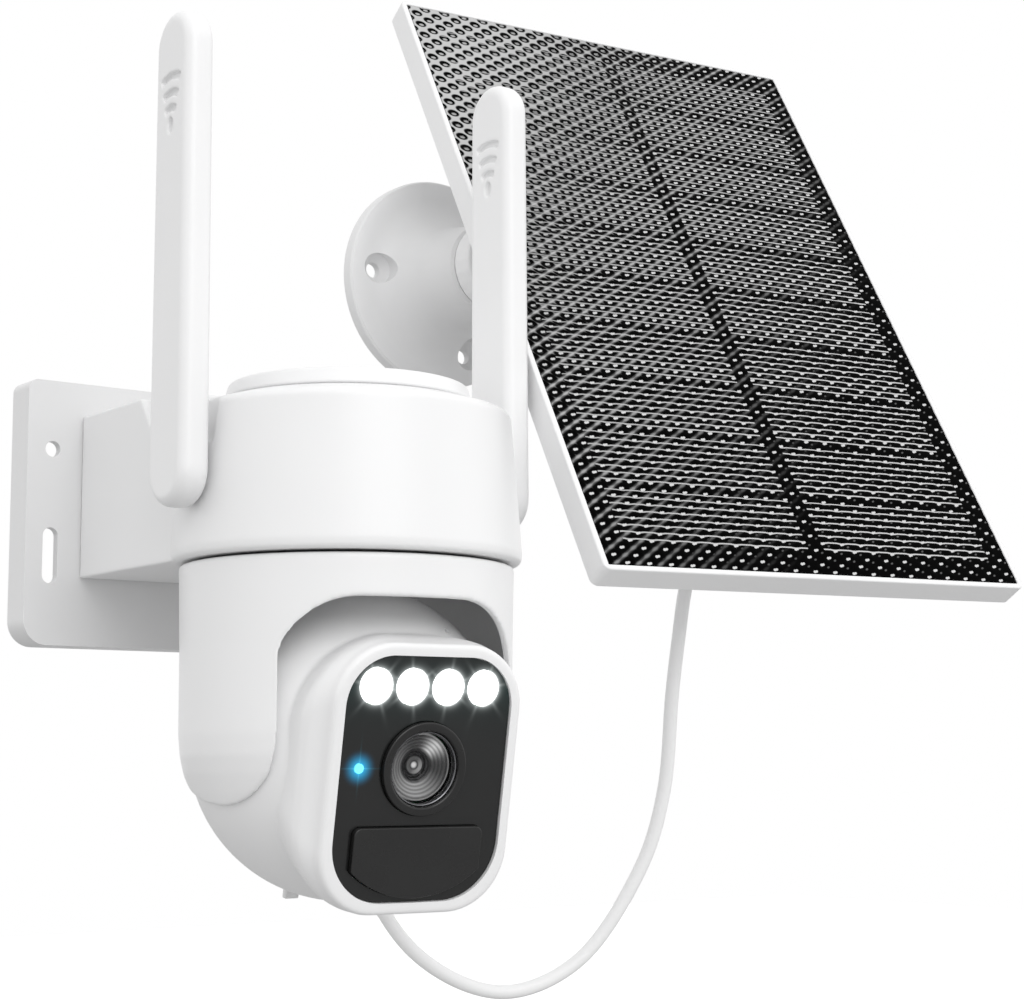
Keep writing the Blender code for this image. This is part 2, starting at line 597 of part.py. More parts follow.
def make_head_shell(head):
    seam = 0.0300  # the rear cover's joint line, behind the tilt axis
    shell = ball("head_front_shell", BALL_RADIUS, WHITE, segments=36, parent=head)
    front = snout("head_snout", 0.0, WHITE, head)
    joined("head_front_shell", shell, front)
    hollow = ball("head_hollow", BALL_RADIUS - SHELL_WALL, None, segments=24, parent=head, cutter=True)
    front_hollow = snout("snout_hollow", SHELL_WALL + 0.0006, None, head, cutter=True)
    step = 2 * (FACE_FRONT - 0.0032)
    face_seat = outline_solid(
        "face_seat",
        rounded_outline(FACE_WIDTH + 2 * GAP, FACE_HEIGHT + 2 * GAP, 0.0143, 0.0168), 0.0100, None,
        at=(0.0, -(FACE_FRONT - 0.0024) - 0.0050, FACE_CENTRE_UP), parent=head, cutter=True,
    )
    face_opening = outline_solid(
        "face_opening", rounded_outline(FACE_WIDTH - 0.003, FACE_HEIGHT - 0.003, 0.0130, 0.0155), 0.020,
        None, at=(0.0, -step / 2, FACE_CENTRE_UP), parent=head, cutter=True,
    )
    back_cut = block("back_cut", (0.12, 0.04, 0.12), None, at=(0.0, seam + 0.02, 0.0), parent=head,
                     cutter=True)
    bush_hole = rod("bush_hole", 0.0063, 0.12, None, axis="x", parent=head, cutter=True)
    flap_hole = block("flap_hole", (0.0246, 0.0186, 0.016), None, at=(0.0, 0.0150, -0.0440), parent=head,
                      cutter=True)
    mic_hole = rod("mic_hole", 0.0007, 0.012, None, segments=10, parent=head, cutter=True,
                   at=(0.0165, -0.0235, 0.0365), turn=(math.radians(33), math.radians(22), 0.0))
    for tool in (hollow, front_hollow, face_seat, face_opening, back_cut, bush_hole, flap_hole, mic_hole):
        shape_with(shell, tool)

    cover = ball("head_rear_cover", BALL_RADIUS, WHITE, segments=36, parent=head)
    front_cut = block("front_cut", (0.12, 0.12, 0.12), None, at=(0.0, seam + GAP - 0.06, 0.0), parent=head,
                      cutter=True)
    shape_with(cover, hollow)
    shape_with(cover, front_cut)

    for side, word in ((-1, "left"), (1, "right")):
        ring(f"tilt_bush_{word}", 0.0043, 0.0060, 0.0060, BRASS, axis="x", steps=24, parent=head,
             at=(side * 0.0425, 0.0, 0.0))


def make_face(head):
    lens = (0.0, LENS_UP - FACE_CENTRE_UP)
    led_row = [((i - 1.5) * LED_SPACING, LED_UP - FACE_CENTRE_UP) for i in range(4)]
    lamp = (-0.0200, LENS_UP - FACE_CENTRE_UP)
    thickness = 0.0020
    holes = [circle(LED_RADIUS + GAP, spot) for spot in led_row]
    holes += [circle(LENS_RING_RADIUS + GAP, lens, 32), circle(0.0017, lamp, 12), pir_outline(GAP)]
    outline_solid(
        "face_panel", rounded_outline(FACE_WIDTH, FACE_HEIGHT, 0.0140, 0.0165), thickness, GLOSS_BLACK,
        holes=holes, at=(0.0, -FACE_FRONT + thickness / 2, FACE_CENTRE_UP), parent=head,
    )
    for number, (x, z) in enumerate(led_row, 1):
        profile = [(0.0, 0.0006), (LED_RADIUS - 0.0010, 0.0004), (LED_RADIUS, -0.0002),
                   (LED_RADIUS, -0.0036), (0.0, -0.0036)]
        turned(f"flood_led_{number}", profile, LAMP, axis="y", steps=16,
               at=(x, -FACE_FRONT, z + FACE_CENTRE_UP), parent=head)
    rod("status_led", 0.0014, 0.0040, BLUE, axis="y", segments=12,
        at=(lamp[0], -FACE_FRONT + 0.0019, lamp[1] + FACE_CENTRE_UP), parent=head)
    outline_solid("pir_window", pir_outline(0.0), 0.0040, GLOSS_BLACK,
                  at=(0.0, -FACE_FRONT + 0.0002, FACE_CENTRE_UP), parent=head)
    ring_profile = [
        (LENS_GLASS_RADIUS + GAP, 0.0006), (LENS_RING_RADIUS - 0.0010, 0.0016),
        (LENS_RING_RADIUS, 0.0008), (LENS_RING_RADIUS, -0.0045), (LENS_GLASS_RADIUS + GAP, -0.0045),
    ]
    turned("lens_ring", ring_profile, BLACK, axis="y", steps=40, ring=True,
           at=(0.0, -FACE_FRONT, LENS_UP), parent=head)
    dome = [(LENS_GLASS_RADIUS * math.sin(a), 0.0008 - 0.0020 * (1 - math.cos(a)))
            for a in (0.0, 0.5, 1.0, math.pi / 2)]
    turned("lens_glass", dome + [(LENS_GLASS_RADIUS, -0.0030), (0.0, -0.0030)], GLASS, axis="y",
           steps=32, at=(0.0, -FACE_FRONT, LENS_UP), parent=head)
    rod("lens_barrel", 0.0090, 0.0150, BLACK, axis="y", at=(0.0, -FACE_FRONT + 0.0111, LENS_UP),
        parent=head)
    block("sensor_board", (0.036, 0.0016, 0.036), GREEN, at=(0.0, -FACE_FRONT + 0.0200, LENS_UP),
          parent=head)
    block("led_board", (0.042, 0.0016, 0.010), GREEN, at=(0.0, -FACE_FRONT + 0.0050, LED_UP - 0.0012),
          parent=head)
    rod("pir_sensor", 0.0046, 0.0045, STEEL, axis="y", at=(0.0, -FACE_FRONT + 0.0052, -0.0250),
        parent=head)
    rod("microphone", 0.0030, 0.0022, STEEL, segments=16, parent=head, at=(0.0125, -0.0165, 0.0325),
        turn=(math.radians(33), math.radians(22), 0.0))


def pir_outline(grow):
    """Straight top and sides with a long bow below, in the face's own plane."""
    top, side, shoulder, bow_low, bow_radius = -0.0131, 0.0203, -0.0249, -0.0329, 0.0303
    corner = 0.0022
    spread = math.degrees(math.asin(side / bow_radius))
    bow = arc((0.0, bow_low + bow_radius), bow_radius + grow, 270 - spread, 270 + spread, 14)
    return (
        arc((side - corner, top - corner), corner + grow, 0, 90, 3)
        + arc((corner - side, top - corner), corner + grow, 90, 180, 3)
        + [(-side - grow, shoulder), *bow, (side + grow, shoulder)]
    )


def make_tilt_drive(head):
    distance = (TILT_TEETH + TILT_PINION_TEETH) * TILT_MODULE / 2 + 0.0001
    spot = (0.0, distance * math.sin(math.radians(45)), distance * math.cos(math.radians(45)))
    pinion_pivot = pivot("tilt_pinion_axis", spot, parent=head)
    half_tooth = math.pi / TILT_PINION_TEETH
    outline_solid(
        "tilt_pinion", gear_outline(TILT_PINION_TEETH, TILT_MODULE, math.radians(225) + half_tooth), 0.0034,
        BRASS, turn=(math.pi / 2, 0.0, math.pi / 2), holes=[circle(0.0018, steps=12)],
        at=(-0.0350, 0.0, 0.0), parent=pinion_pivot,
    )
    motor = rod("tilt_stepper", 0.0100, 0.0160, STEEL, axis="x", parent=head,
                at=(-0.0240, spot[1], spot[2]))
    shaft = rod("tilt_shaft", 0.0015, 0.0060, STEEL, axis="x", segments=12, parent=head,
                at=(-0.0342, spot[1], spot[2]))
    joined("tilt_stepper", motor, shaft)


def make_service_bay(head):
    """The rubber flap under the ball, with the reset button and memory card behind it."""
    hinge_at = Vector((0.0, 0.0240, -0.0397))
    hinge = pivot("service_flap_axis", hinge_at, parent=head)
    flap = ball("service_flap", BALL_RADIUS, RUBBER, segments=36, parent=hinge, at=-hinge_at)
    trim = block("flap_trim", (0.0240, 0.0180, 0.016), None, at=(0.0, 0.0150, -0.0440), parent=head,
                 cutter=True)
    flap_room = ball("flap_room", BALL_RADIUS - 0.0016, None, segments=40, parent=head, cutter=True)
    shape_with(flap, trim, "INTERSECT")
    shape_with(flap, flap_room)
    tab_at = Vector((-0.0095, 0.0073, -0.0458))  # finger tab at the flap's front corner
    tab = block("flap_tab", (0.0046, 0.0020, 0.0048), RUBBER, parent=hinge, at=tab_at - hinge_at)
    joined("service_flap", flap, tab)
    rod("reset_button", 0.0016, 0.0040, BLACK, segments=16, parent=head, at=(-0.0060, 0.0140, -0.0382))
    block("memory_card", (0.0110, 0.0010, 0.0150), BLACK, parent=head, at=(0.0040, 0.0140, -0.0328))
    deck = block("control_board", (0.0220, 0.0150, 0.0016), GREEN, parent=head, at=(0.0, 0.0140, -0.0342))
    card_slot = block("card_slot", (0.0116, 0.0016, 0.0200), None, parent=head, cutter=True,
                      at=(0.0040, 0.0140, -0.0340))
    shape_with(deck, card_slot)


# ---------------------------------------------------------------- solar panel and its bracket
def make_flange():
    """Round wall flange whose middle flares into a hollow stub."""
    end = -TRUMPET_END_Y
    profile = [(0.0, end), (TRUMPET_RADIUS - 0.0008, end), (TRUMPET_RADIUS, end - 0.0008)]
    profile += [(TRUMPET_RADIUS + 0.0015, 0.0250)]
    flare = 0.0150
    for i in range(5):
        angle = math.radians(15 + 70 * i / 4)
        profile.append((TRUMPET_RADIUS + 0.0020 + flare * (1 - math.cos(angle)),
                        FLANGE_DEPTH + 0.0005 + flare * (1 - math.sin(angle))))
    profile += [(FLANGE_RADIUS - 0.0010, FLANGE_DEPTH), (FLANGE_RADIUS, FLANGE_DEPTH - 0.0010),
                (FLANGE_RADIUS, 0.0), (0.0, 0.0)]
    flange = turned("wall_flange", profile, WHITE, axis="y", at=FLANGE_CENTRE)
    for number, degrees in enumerate(FLANGE_HOLES, 1):
        angle = math.radians(degrees)
        spot = FLANGE_CENTRE + Vector((math.cos(angle), 0.0, math.sin(angle))) * FLANGE_HOLE_RING
        hole = rod(f"flange_hole_{number}", 0.0027, 0.04, None, axis="y", segments=16, at=spot, cutter=True)
        sink = rod(f"flange_sink_{number}", 0.0050, 0.0200, None, axis="y", segments=16, cutter=True,
                   at=spot + Vector((0.0, -0.0135, 0.0)))
        shape_with(flange, hole)
        shape_with(flange, sink)
    hollow = rod("flange_hollow", 0.0110, 0.0900, None, axis="y", at=FLANGE_CENTRE, cutter=True)
    shape_with(flange, hollow)


def make_bracket():
    arm_height = 0.0160
    start = FLANGE_CENTRE + Vector((0.0, TRUMPET_END_Y - GAP, 0.0))
    plug = rod("bracket_arm", TRUMPET_RADIUS - 0.0004, 0.0090, WHITE, axis="y",
               at=start + Vector((0.0, -0.0045, 0.0)), rounding=0.0010)
    spigot = rod("arm_spigot", 0.0107, 0.0200, WHITE, axis="y", at=start + Vector((0.0, 0.006, 0.0)))
    eye_at = Vector((TURN_POINT.x, TURN_POINT.y, FLANGE_CENTRE.z))
    bar_from = start + Vector((0.0, -0.0060, 0.0))
    reach = eye_at - bar_from
    bar = block(
        "arm_bar", (reach.length, 0.0100, arm_height), WHITE, rounding=0.0015,
        at=(bar_from + eye_at) / 2, turn=(0.0, 0.0, math.atan2(reach.y, reach.x)),
    )
    eye = rod("arm_eye", 0.0095, arm_height, WHITE, at=eye_at)
    arm = joined("bracket_arm", plug, spigot, bar, eye)
    shape_with(arm, rod("arm_bore", 0.0033, 0.04, None, at=eye_at, segments=20, cutter=True))

    turn_axis = pivot("solar_turn_axis", TURN_POINT, turn=(0.0, 0.0, PANEL_YAW))
    plate = 0.0040
    plate_up = arm_height / 2 + GAP + plate / 2
    pieces = []
    for sign, word in ((1, "upper"), (-1, "lower")):
        pieces.append(rod(f"knuckle_{word}", 0.0095, plate, WHITE, parent=turn_axis,
                          at=(0.0, 0.0, sign * plate_up)))
        pieces.append(block(f"knuckle_web_{word}", (0.0130, 0.0160, plate), WHITE, parent=turn_axis,
                            at=(0.0, -0.0070, sign * plate_up)))
    lug = rod("knuckle_lug", 0.0075, 0.0130, WHITE, axis="x", parent=turn_axis,
              at=(0.0, -TURN_BEHIND_HINGE, 0.0))
    neck = block("knuckle_neck", (0.0130, 0.0040, 2 * plate_up + plate), WHITE, parent=turn_axis,
                 at=(0.0, -0.0130, 0.0))
    knuckle = joined("turn_knuckle", neck, lug, *pieces)
    pin_bore = rod("tilt_bore", 0.0029, 0.04, None, axis="x", parent=turn_axis, segments=20, cutter=True,
                   at=(0.0, -TURN_BEHIND_HINGE, 0.0))
    turn_bore = rod("turn_bore", 0.0033, 0.04, None, parent=turn_axis, segments=20, cutter=True)
    shape_with(knuckle, pin_bore)
    shape_with(knuckle, turn_bore)
    pin = rod("turn_pin", 0.0030, 0.0270, STEEL, segments=20, at=TURN_POINT)
    head = rod("turn_pin_head", 0.0055, 0.0025, STEEL, segments=6, at=TURN_POINT + Vector((0, 0, 0.0138)))
    joined("turn_pin", pin, head)
    return turn_axis


def make_panel(turn_axis):
    tilt_axis = pivot("solar_tilt_axis", (0.0, -TURN_BEHIND_HINGE, 0.0), parent=turn_axis,
                      turn=(PANEL_TILT, 0.0, 0.0))
    tray = pivot("panel_middle", (0.0, -HINGE_BEHIND_GLASS, -HINGE_ABOVE_CENTRE), parent=tilt_axis,
                 turn=(0.0, PANEL_ROLL, 0.0))
    frame = outline_solid(
        "panel_frame", rounded_outline(PANEL_WIDTH, PANEL_HEIGHT, 0.002, 0.002, 2), PANEL_DEPTH, WHITE,
        at=(0.0, PANEL_DEPTH / 2, 0.0), parent=tray,
    )
    bevel(frame, 0.0010)
    seat = block("panel_seat", (GLASS_WIDTH, 0.0060, GLASS_HEIGHT), None, parent=tray, cutter=True)
    shape_with(frame, seat)
    block("cell_sheet", (GLASS_WIDTH - 0.001, 0.0010, GLASS_HEIGHT - 0.001), CELLS, parent=tray,
          at=(0.0, 0.0022, 0.0))
    block("panel_glass", (GLASS_WIDTH - 2 * GAP, 0.0011, GLASS_HEIGHT - 2 * GAP), GLASS, parent=tray,
          at=(0.0, 0.0008, 0.0))
    back = PANEL_DEPTH + GAP
    box_at = (-0.0170, back + 0.0055, -0.0380)
    box = block("junction_box", (0.0440, 0.0110, 0.0360), WHITE, rounding=0.0015, parent=tray, at=box_at)
    spout = rod("box_spout", 0.0042, 0.0080, WHITE, parent=tray, segments=20,
                at=(box_at[0], box_at[1], box_at[2] - 0.0200))
    joined("junction_box", box, spout)
    box_bore = rod("box_bore", CABLE_RADIUS + 0.0004, 0.0125, None, segments=16, parent=tray, cutter=True,
                   at=(box_at[0], box_at[1], box_at[2] - 0.0230))
    shape_with(box, box_bore)

    foot = block("panel_foot", (0.0440, 0.0030, 0.0440), WHITE, rounding=0.0008, parent=tilt_axis,
                 at=(0.0, -HINGE_BEHIND_GLASS + PANEL_DEPTH + 0.0020, 0.0))
    lugs = []
    for side in (-1, 1):
        lugs.append(block(f"foot_web_{side}", (0.0040, 0.0110, 0.0150), WHITE, parent=tilt_axis,
                          at=(side * 0.0089, -0.0047, 0.0)))
        lugs.append(rod(f"foot_lug_{side}", 0.0075, 0.0040, WHITE, axis="x", parent=tilt_axis,
                        at=(side * 0.0089, 0.0, 0.0)))
    joined("panel_foot", foot, *lugs)
    shape_with(foot, rod("foot_bore", 0.0029, 0.04, None, axis="x", parent=tilt_axis, segments=20,
                         cutter=True))
    pin = rod("tilt_pin", 0.0026, 0.0300, STEEL, axis="x", segments=20, parent=tilt_axis,
              at=(0.0010, 0.0, 0.0))
    pin_head = rod("tilt_pin_head", 0.0052, 0.0030, STEEL, axis="x", segments=6, parent=tilt_axis,
                   at=(-0.0129, 0.0, 0.0))
    joined("tilt_pin", pin, pin_head)
    knob = rod("tilt_knob", 0.0085, 0.0070, BLACK, axis="x", segments=10, parent=tilt_axis,
               at=(0.0150, 0.0, 0.0), rounding=0.0008)
    shape_with(knob, rod("knob_bore", 0.0029, 0.02, None, axis="x", parent=tilt_axis, segments=20,
                         at=(0.0150, 0.0, 0.0), cutter=True))
    return tray, box_at


def make_cable(tray, box_at):
    """The lead from the junction box: it hangs in a loop and rises behind the head to the gland."""
    bpy.context.view_layer.update()
    inside, mouth = (tray.matrix_world @ Vector((box_at[0], box_at[1], box_at[2] - below))
                     for below in (0.0180, 0.0260))
    guides = [
        mouth, Vector((0.1300, -0.0990, -0.0290)), Vector((0.1305, -0.0930, -0.0560)),
        Vector((0.1315, -0.0870, -0.0880)), Vector((0.1260, -0.0800, -0.1150)),
        Vector((0.1090, -0.0700, -0.1430)), Vector((0.0830, -0.0620, -0.1530)),
        Vector((0.0570, -0.0540, -0.1420)), Vector((0.0410, -0.0460, -0.1180)),
        Vector((0.0270, -0.0370, -0.0750)), Vector((0.0200, -0.0330, -0.0350)),
        Vector((0.0200, -0.0330, DRUM_BOTTOM + 0.0030)),
    ]
    leaving = (mouth - inside).normalized() * 0.030
    guides.insert(0, guides[1] - 2 * leaving)  # sets the direction the lead leaves the spout in
    path = bpy.data.curves.new("solar_cable", "CURVE")
    path.dimensions = "3D"
    path.bevel_depth = CABLE_RADIUS
    path.bevel_resolution = 2
    path.use_fill_caps = True
    points = [inside]
    for i in range(1, len(guides) - 1):
        before = guides[i - 1]
        a, b = guides[i], guides[i + 1]
        after = guides[min(i + 2, len(guides) - 1)]
        for step in range(4):
            t = step / 4
            points.append(
                0.5 * (2 * a + (b - before) * t + (2 * before - 5 * a + 4 * b - after) * t * t
                       + (3 * a - before - 3 * b + after) * t ** 3)
            )
    points.append(guides[-1])
    spline = path.splines.new("POLY")
    spline.points.add(len(points) - 1)
    for target, point in zip(spline.points, points):
        target.co = (*point, 1.0)
    cable = bpy.data.objects.new("solar_cable", path)
    return place(cable, WHITE)


def main():
    yoke_pivot = pivot("head_pan_axis", PAN_POINT, turn=(0.0, 0.0, HEAD_PAN))
    axle_pivot = pivot("tilt_axle_line", (0.0, 0.0, TILT_AXIS_UP), parent=yoke_pivot)
    head = pivot("head_tilt_axis", (0.0, 0.0, TILT_AXIS_UP), parent=yoke_pivot, turn=(HEAD_TILT, 0.0, 0.0))
    make_wall_plate()
    make_housing()
    make_top_cap()
    make_drum_inside()
    make_pan_drive(yoke_pivot)
    make_antennas()
    make_yoke(yoke_pivot)
    make_tilt_axles(axle_pivot)
    make_head_shell(head)
    make_face(head)
    make_tilt_drive(head)
    make_service_bay(head)
    make_flange()
    tray, box_at = make_panel(make_bracket())
    make_cable(tray, box_at)


main()
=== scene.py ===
import json
from math import asin, cos, degrees, pi, radians, sin

import bmesh
import bpy
import numpy as np
from mathutils import Matrix, Vector


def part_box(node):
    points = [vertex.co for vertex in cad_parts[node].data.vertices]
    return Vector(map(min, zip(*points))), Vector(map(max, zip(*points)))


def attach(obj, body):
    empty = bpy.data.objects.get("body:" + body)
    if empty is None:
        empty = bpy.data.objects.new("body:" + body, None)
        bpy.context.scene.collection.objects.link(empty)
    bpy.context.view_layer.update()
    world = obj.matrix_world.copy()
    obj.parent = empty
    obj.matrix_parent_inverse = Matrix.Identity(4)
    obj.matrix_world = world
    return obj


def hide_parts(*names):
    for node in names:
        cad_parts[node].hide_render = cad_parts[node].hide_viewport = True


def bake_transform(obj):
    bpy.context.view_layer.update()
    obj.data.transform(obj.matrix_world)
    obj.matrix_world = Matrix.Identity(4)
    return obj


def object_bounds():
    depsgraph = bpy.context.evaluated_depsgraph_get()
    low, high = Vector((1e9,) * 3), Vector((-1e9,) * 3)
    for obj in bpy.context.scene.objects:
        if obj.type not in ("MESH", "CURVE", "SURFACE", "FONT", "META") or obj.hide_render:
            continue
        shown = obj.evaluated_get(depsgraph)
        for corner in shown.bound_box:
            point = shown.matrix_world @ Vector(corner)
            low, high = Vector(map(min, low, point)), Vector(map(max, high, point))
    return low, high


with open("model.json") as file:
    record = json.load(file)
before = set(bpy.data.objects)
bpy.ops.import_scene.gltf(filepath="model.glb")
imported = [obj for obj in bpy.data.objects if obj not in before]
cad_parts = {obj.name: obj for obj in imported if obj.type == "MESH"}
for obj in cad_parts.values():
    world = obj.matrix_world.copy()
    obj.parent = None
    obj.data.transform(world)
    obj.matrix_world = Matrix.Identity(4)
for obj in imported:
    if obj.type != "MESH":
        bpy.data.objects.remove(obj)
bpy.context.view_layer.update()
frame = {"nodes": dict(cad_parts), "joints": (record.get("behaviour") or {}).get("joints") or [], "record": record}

# ---- frames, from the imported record
NODES = frame["nodes"]
JOINTS = {joint["name"]: joint for joint in frame["joints"]}
SLOTS = {part["node"]: part["material_slot"] for part in frame["record"]["subparts"]}
ALONG_Y = Matrix.Rotation(pi / 2, 4, "X")  # a piece's own z becomes forwards, -Y
ALONG_X = Matrix.Rotation(pi / 2, 4, "Y")
SIDEWAYS = Matrix.Rotation(pi / 2, 4, "Z") @ ALONG_Y  # an outline's first axis along Y, thickness along X
STILL = Matrix.Identity(4)
SHEET_BEHIND_GLASS = 0.0022


def axes(origin, x, z):
    x, z = Vector(x).normalized(), Vector(z).normalized()
    y = z.cross(x)
    return Matrix.Translation(origin) @ Matrix((x, y, z)).transposed().to_4x4()


def panel_axes():
    """The solar panel's own axes, from the corners of its flat cell sheet."""
    points = np.array([v.co for v in NODES["cell_sheet"].data.vertices], float)
    corners = np.unique(np.round(points, 6), axis=0)
    centre = corners.mean(0)
    directions = np.linalg.svd(corners - centre)[2]
    up, side = Vector(directions[0]), Vector(directions[1])
    up = up if up.z > 0 else -up
    side = side if side.x > 0 else -side
    return axes(centre, side, up) @ at(y=-SHEET_BEHIND_GLASS)


def at(x=0.0, y=0.0, z=0.0):
    return Matrix.Translation((x, y, z))


PAN_AT = Vector(JOINTS["head_pan"]["pos_m"])
DRUM = Matrix.Translation(PAN_AT)
YOKE = axes(PAN_AT, JOINTS["head_tilt"]["axis"], (0, 0, 1))
HEAD = axes(JOINTS["head_tilt"]["pos_m"], JOINTS["head_tilt"]["axis"], JOINTS["reset_press"]["axis"])
PANEL = panel_axes()
TILT_UP = JOINTS["head_tilt"]["pos_m"][2] - PAN_AT.z

# ---- sizes, in metres
DRUM_RADIUS, DRUM_TOP_RADIUS = 0.0520, 0.0489
DRUM_SIDE_UP, SHOULDER_UP, CAP_TOP_UP = 0.0447, 0.0482, 0.0535
CAP_RADIUS, CAP_TOP_RADIUS = 0.0372, 0.0358
NECK_HALF_WIDTH, NECK_TOP_UP, NECK_END_Y = 0.0470, 0.0520, -0.0720
BALL_RADIUS, SHELL_WALL = 0.0463, 0.0024
FACE_WIDTH, FACE_HEIGHT, FACE_FRONT, FACE_UP = 0.0522, 0.0680, 0.0454, -0.0023
RIM_WIDTH = 0.0037
LENS_UP, LED_UP, LED_SPACING, LED_RADIUS = 0.0007, 0.0233, 0.01135, 0.0051
STATUS_X = -0.0200
PANEL_WIDTH, PANEL_HEIGHT, PANEL_DEPTH = 0.1720, 0.2500, 0.0092
GLASS_WIDTH, GLASS_HEIGHT = 0.1679, 0.2459
CABLE_RADIUS = 0.0023
DIMPLE_PITCH_X, DIMPLE_PITCH_Z = 0.00807, 0.00568
THROUGH = 0.12  # longer than the camera is wide
VIEWER_FROM_PAN = Vector((-0.3275, -0.5199, -0.0605))


# ---- material helpers
class Shader:
    """A node material with short names for the nodes it needs."""

    def __init__(self, owner, main="Principled BSDF", coords="Object"):
        owner.use_nodes = True
        self.mat, self.tree = owner, owner.node_tree
        self.main = self.tree.nodes[main]
        self.coords = self.add("TexCoord").outputs[coords]

    def put(self, socket, value):
        if isinstance(value, bpy.types.NodeSocket):
            self.tree.links.new(value, socket)
        else:
            socket.default_value = value

    def add(self, kind, inputs=(), **settings):
        """A new node with its settings, its inputs fed by name or in order."""
        node = self.tree.nodes.new("ShaderNode" + kind)
        for name, value in settings.items():
            setattr(node, name, value)
        for key, value in inputs.items() if isinstance(inputs, dict) else enumerate(inputs):
            self.put(node.inputs[key], value)
        return node

    def set(self, **values):
        for name, value in values.items():
            self.put(self.main.inputs[name.replace("_", " ")], value)

    def math(self, operation, *values):
        return self.add("Math", values, operation=operation).outputs[0]

    def plus(self, a, b):
        return self.math("ADD", a, b)

    def minus(self, a, b):
        return self.math("SUBTRACT", a, b)

    def times(self, a, b):
        return self.math("MULTIPLY", a, b)

    def over(self, a, b):
        return self.math("DIVIDE", a, b)

    def larger(self, a, b):
        return self.math("MAXIMUM", a, b)

    def size(self, value):
        return self.math("ABSOLUTE", value)

    def length(self, a, b):
        return self.math("SQRT", self.plus(self.times(a, a), self.times(b, b)))

    def fade(self, distance, rate):
        """1 where distance is 0, falling away at a negative rate."""
        return self.math("EXPONENT", self.times(distance, rate))

    def off_centre(self, value):
        """Position inside a repeat of 1, from -0.5 to 0.5."""
        return self.minus(self.math("FRACT", value), 0.5)

    def vector(self, operation, a, b):
        return self.add("VectorMath", (a, b), operation=operation).outputs[0]

    def split(self, vector):
        return self.add("SeparateXYZ", [vector]).outputs

    def step(self, value, low, high, out_low=0.0, out_high=1.0):
        """A smooth ramp of value between two limits."""
        limits = {"Value": value, "From Min": low, "From Max": high, "To Min": out_low, "To Max": out_high}
        return self.add("MapRange", limits, interpolation_type="SMOOTHSTEP").outputs["Result"]

    def noise(self, scale, detail, coords=None):
        inputs = {"Vector": coords or self.coords, "Scale": scale, "Detail": detail, "Roughness": 0.55}
        return self.add("TexNoise", inputs).outputs["Fac"]

    def seen(self):
        """1 where the camera looks straight at it, 0 for the light it gives to other things."""
        return self.add("LightPath").outputs["Is Camera Ray"]

    def mix(self, factor, a, b, blend="MIX"):
        node = self.add("Mix", {"Factor": factor}, data_type="RGBA", blend_type=blend)
        for socket, value in zip([s for s in node.inputs if s.type == "RGBA"], (a, b)):
            self.put(socket, (*value, 1.0) if isinstance(value, tuple) and len(value) == 3 else value)
        return [s for s in node.outputs if s.type == "RGBA"][0]

    def grey(self, value):
        return self.add("CombineColor", [value] * 3).outputs[0]

    def bump(self, height, strength, distance):
        bump = self.add("Bump", {"Height": height, "Strength": strength, "Distance": distance})
        self.set(Normal=bump.outputs[0])


def material(name):
    return Shader(bpy.data.materials.new(name))


def moulded(name, colour, roughness, grain=0.15, grain_scale=1400.0):
    """Moulded plastic or rubber: fine spark-eroded grain, faint flow marks and uneven gloss."""
    s = material(name)
    flow = s.noise(28.0, 2.0)
    fine = s.noise(grain_scale, 2.0)
    s.set(Base_Color=s.mix(flow, tuple(c * 0.97 for c in colour), colour),
          Roughness=s.step(fine, 0.3, 0.7, roughness - 0.05, roughness + 0.06))
    s.bump(s.plus(fine, s.times(flow, 0.6)), grain, 0.00008)
    return s.mat


def metal(name, colour, roughness, brushed=(1.0, 1.0, 1.0)):
    """Machined or plated metal with fine tool marks and small stains."""
    s = material(name)
    marks = s.noise(900.0, 4.0, coords=s.vector("MULTIPLY", s.coords, brushed))
    stain = s.noise(120.0, 4.0)
    s.set(Base_Color=s.mix(s.step(stain, 0.45, 0.75), colour, tuple(c * 0.72 for c in colour)), Metallic=1.0,
          Roughness=s.step(marks, 0.3, 0.7, roughness - 0.08, roughness + 0.12))
    s.bump(marks, 0.2, 0.00005)
    return s.mat


def circuit_board():
    """Solder mask over copper tracks that run in steps, with tinned pads."""
    s = material("circuit_board")
    x, y, z = s.split(s.vector("MULTIPLY", s.coords, (420.0, 420.0, 420.0)))
    wander = s.math("ROUND", s.times(s.noise(180.0, 1.0), 7.0))
    lane = s.math("FRACT", s.plus(s.plus(x, z), wander))
    tracks = s.step(s.size(s.minus(lane, 0.5)), 0.12, 0.2, 1.0, 0.0)
    pads = s.step(s.noise(700.0, 0.0), 0.66, 0.7)
    mask = s.mix(tracks, (0.012, 0.11, 0.045), (0.03, 0.22, 0.08))
    s.set(Base_Color=s.mix(pads, mask, (0.62, 0.62, 0.6)), Metallic=s.times(pads, 0.8), Roughness=0.38)
    s.bump(s.plus(tracks, pads), 0.4, 0.00006)
    return s.mat


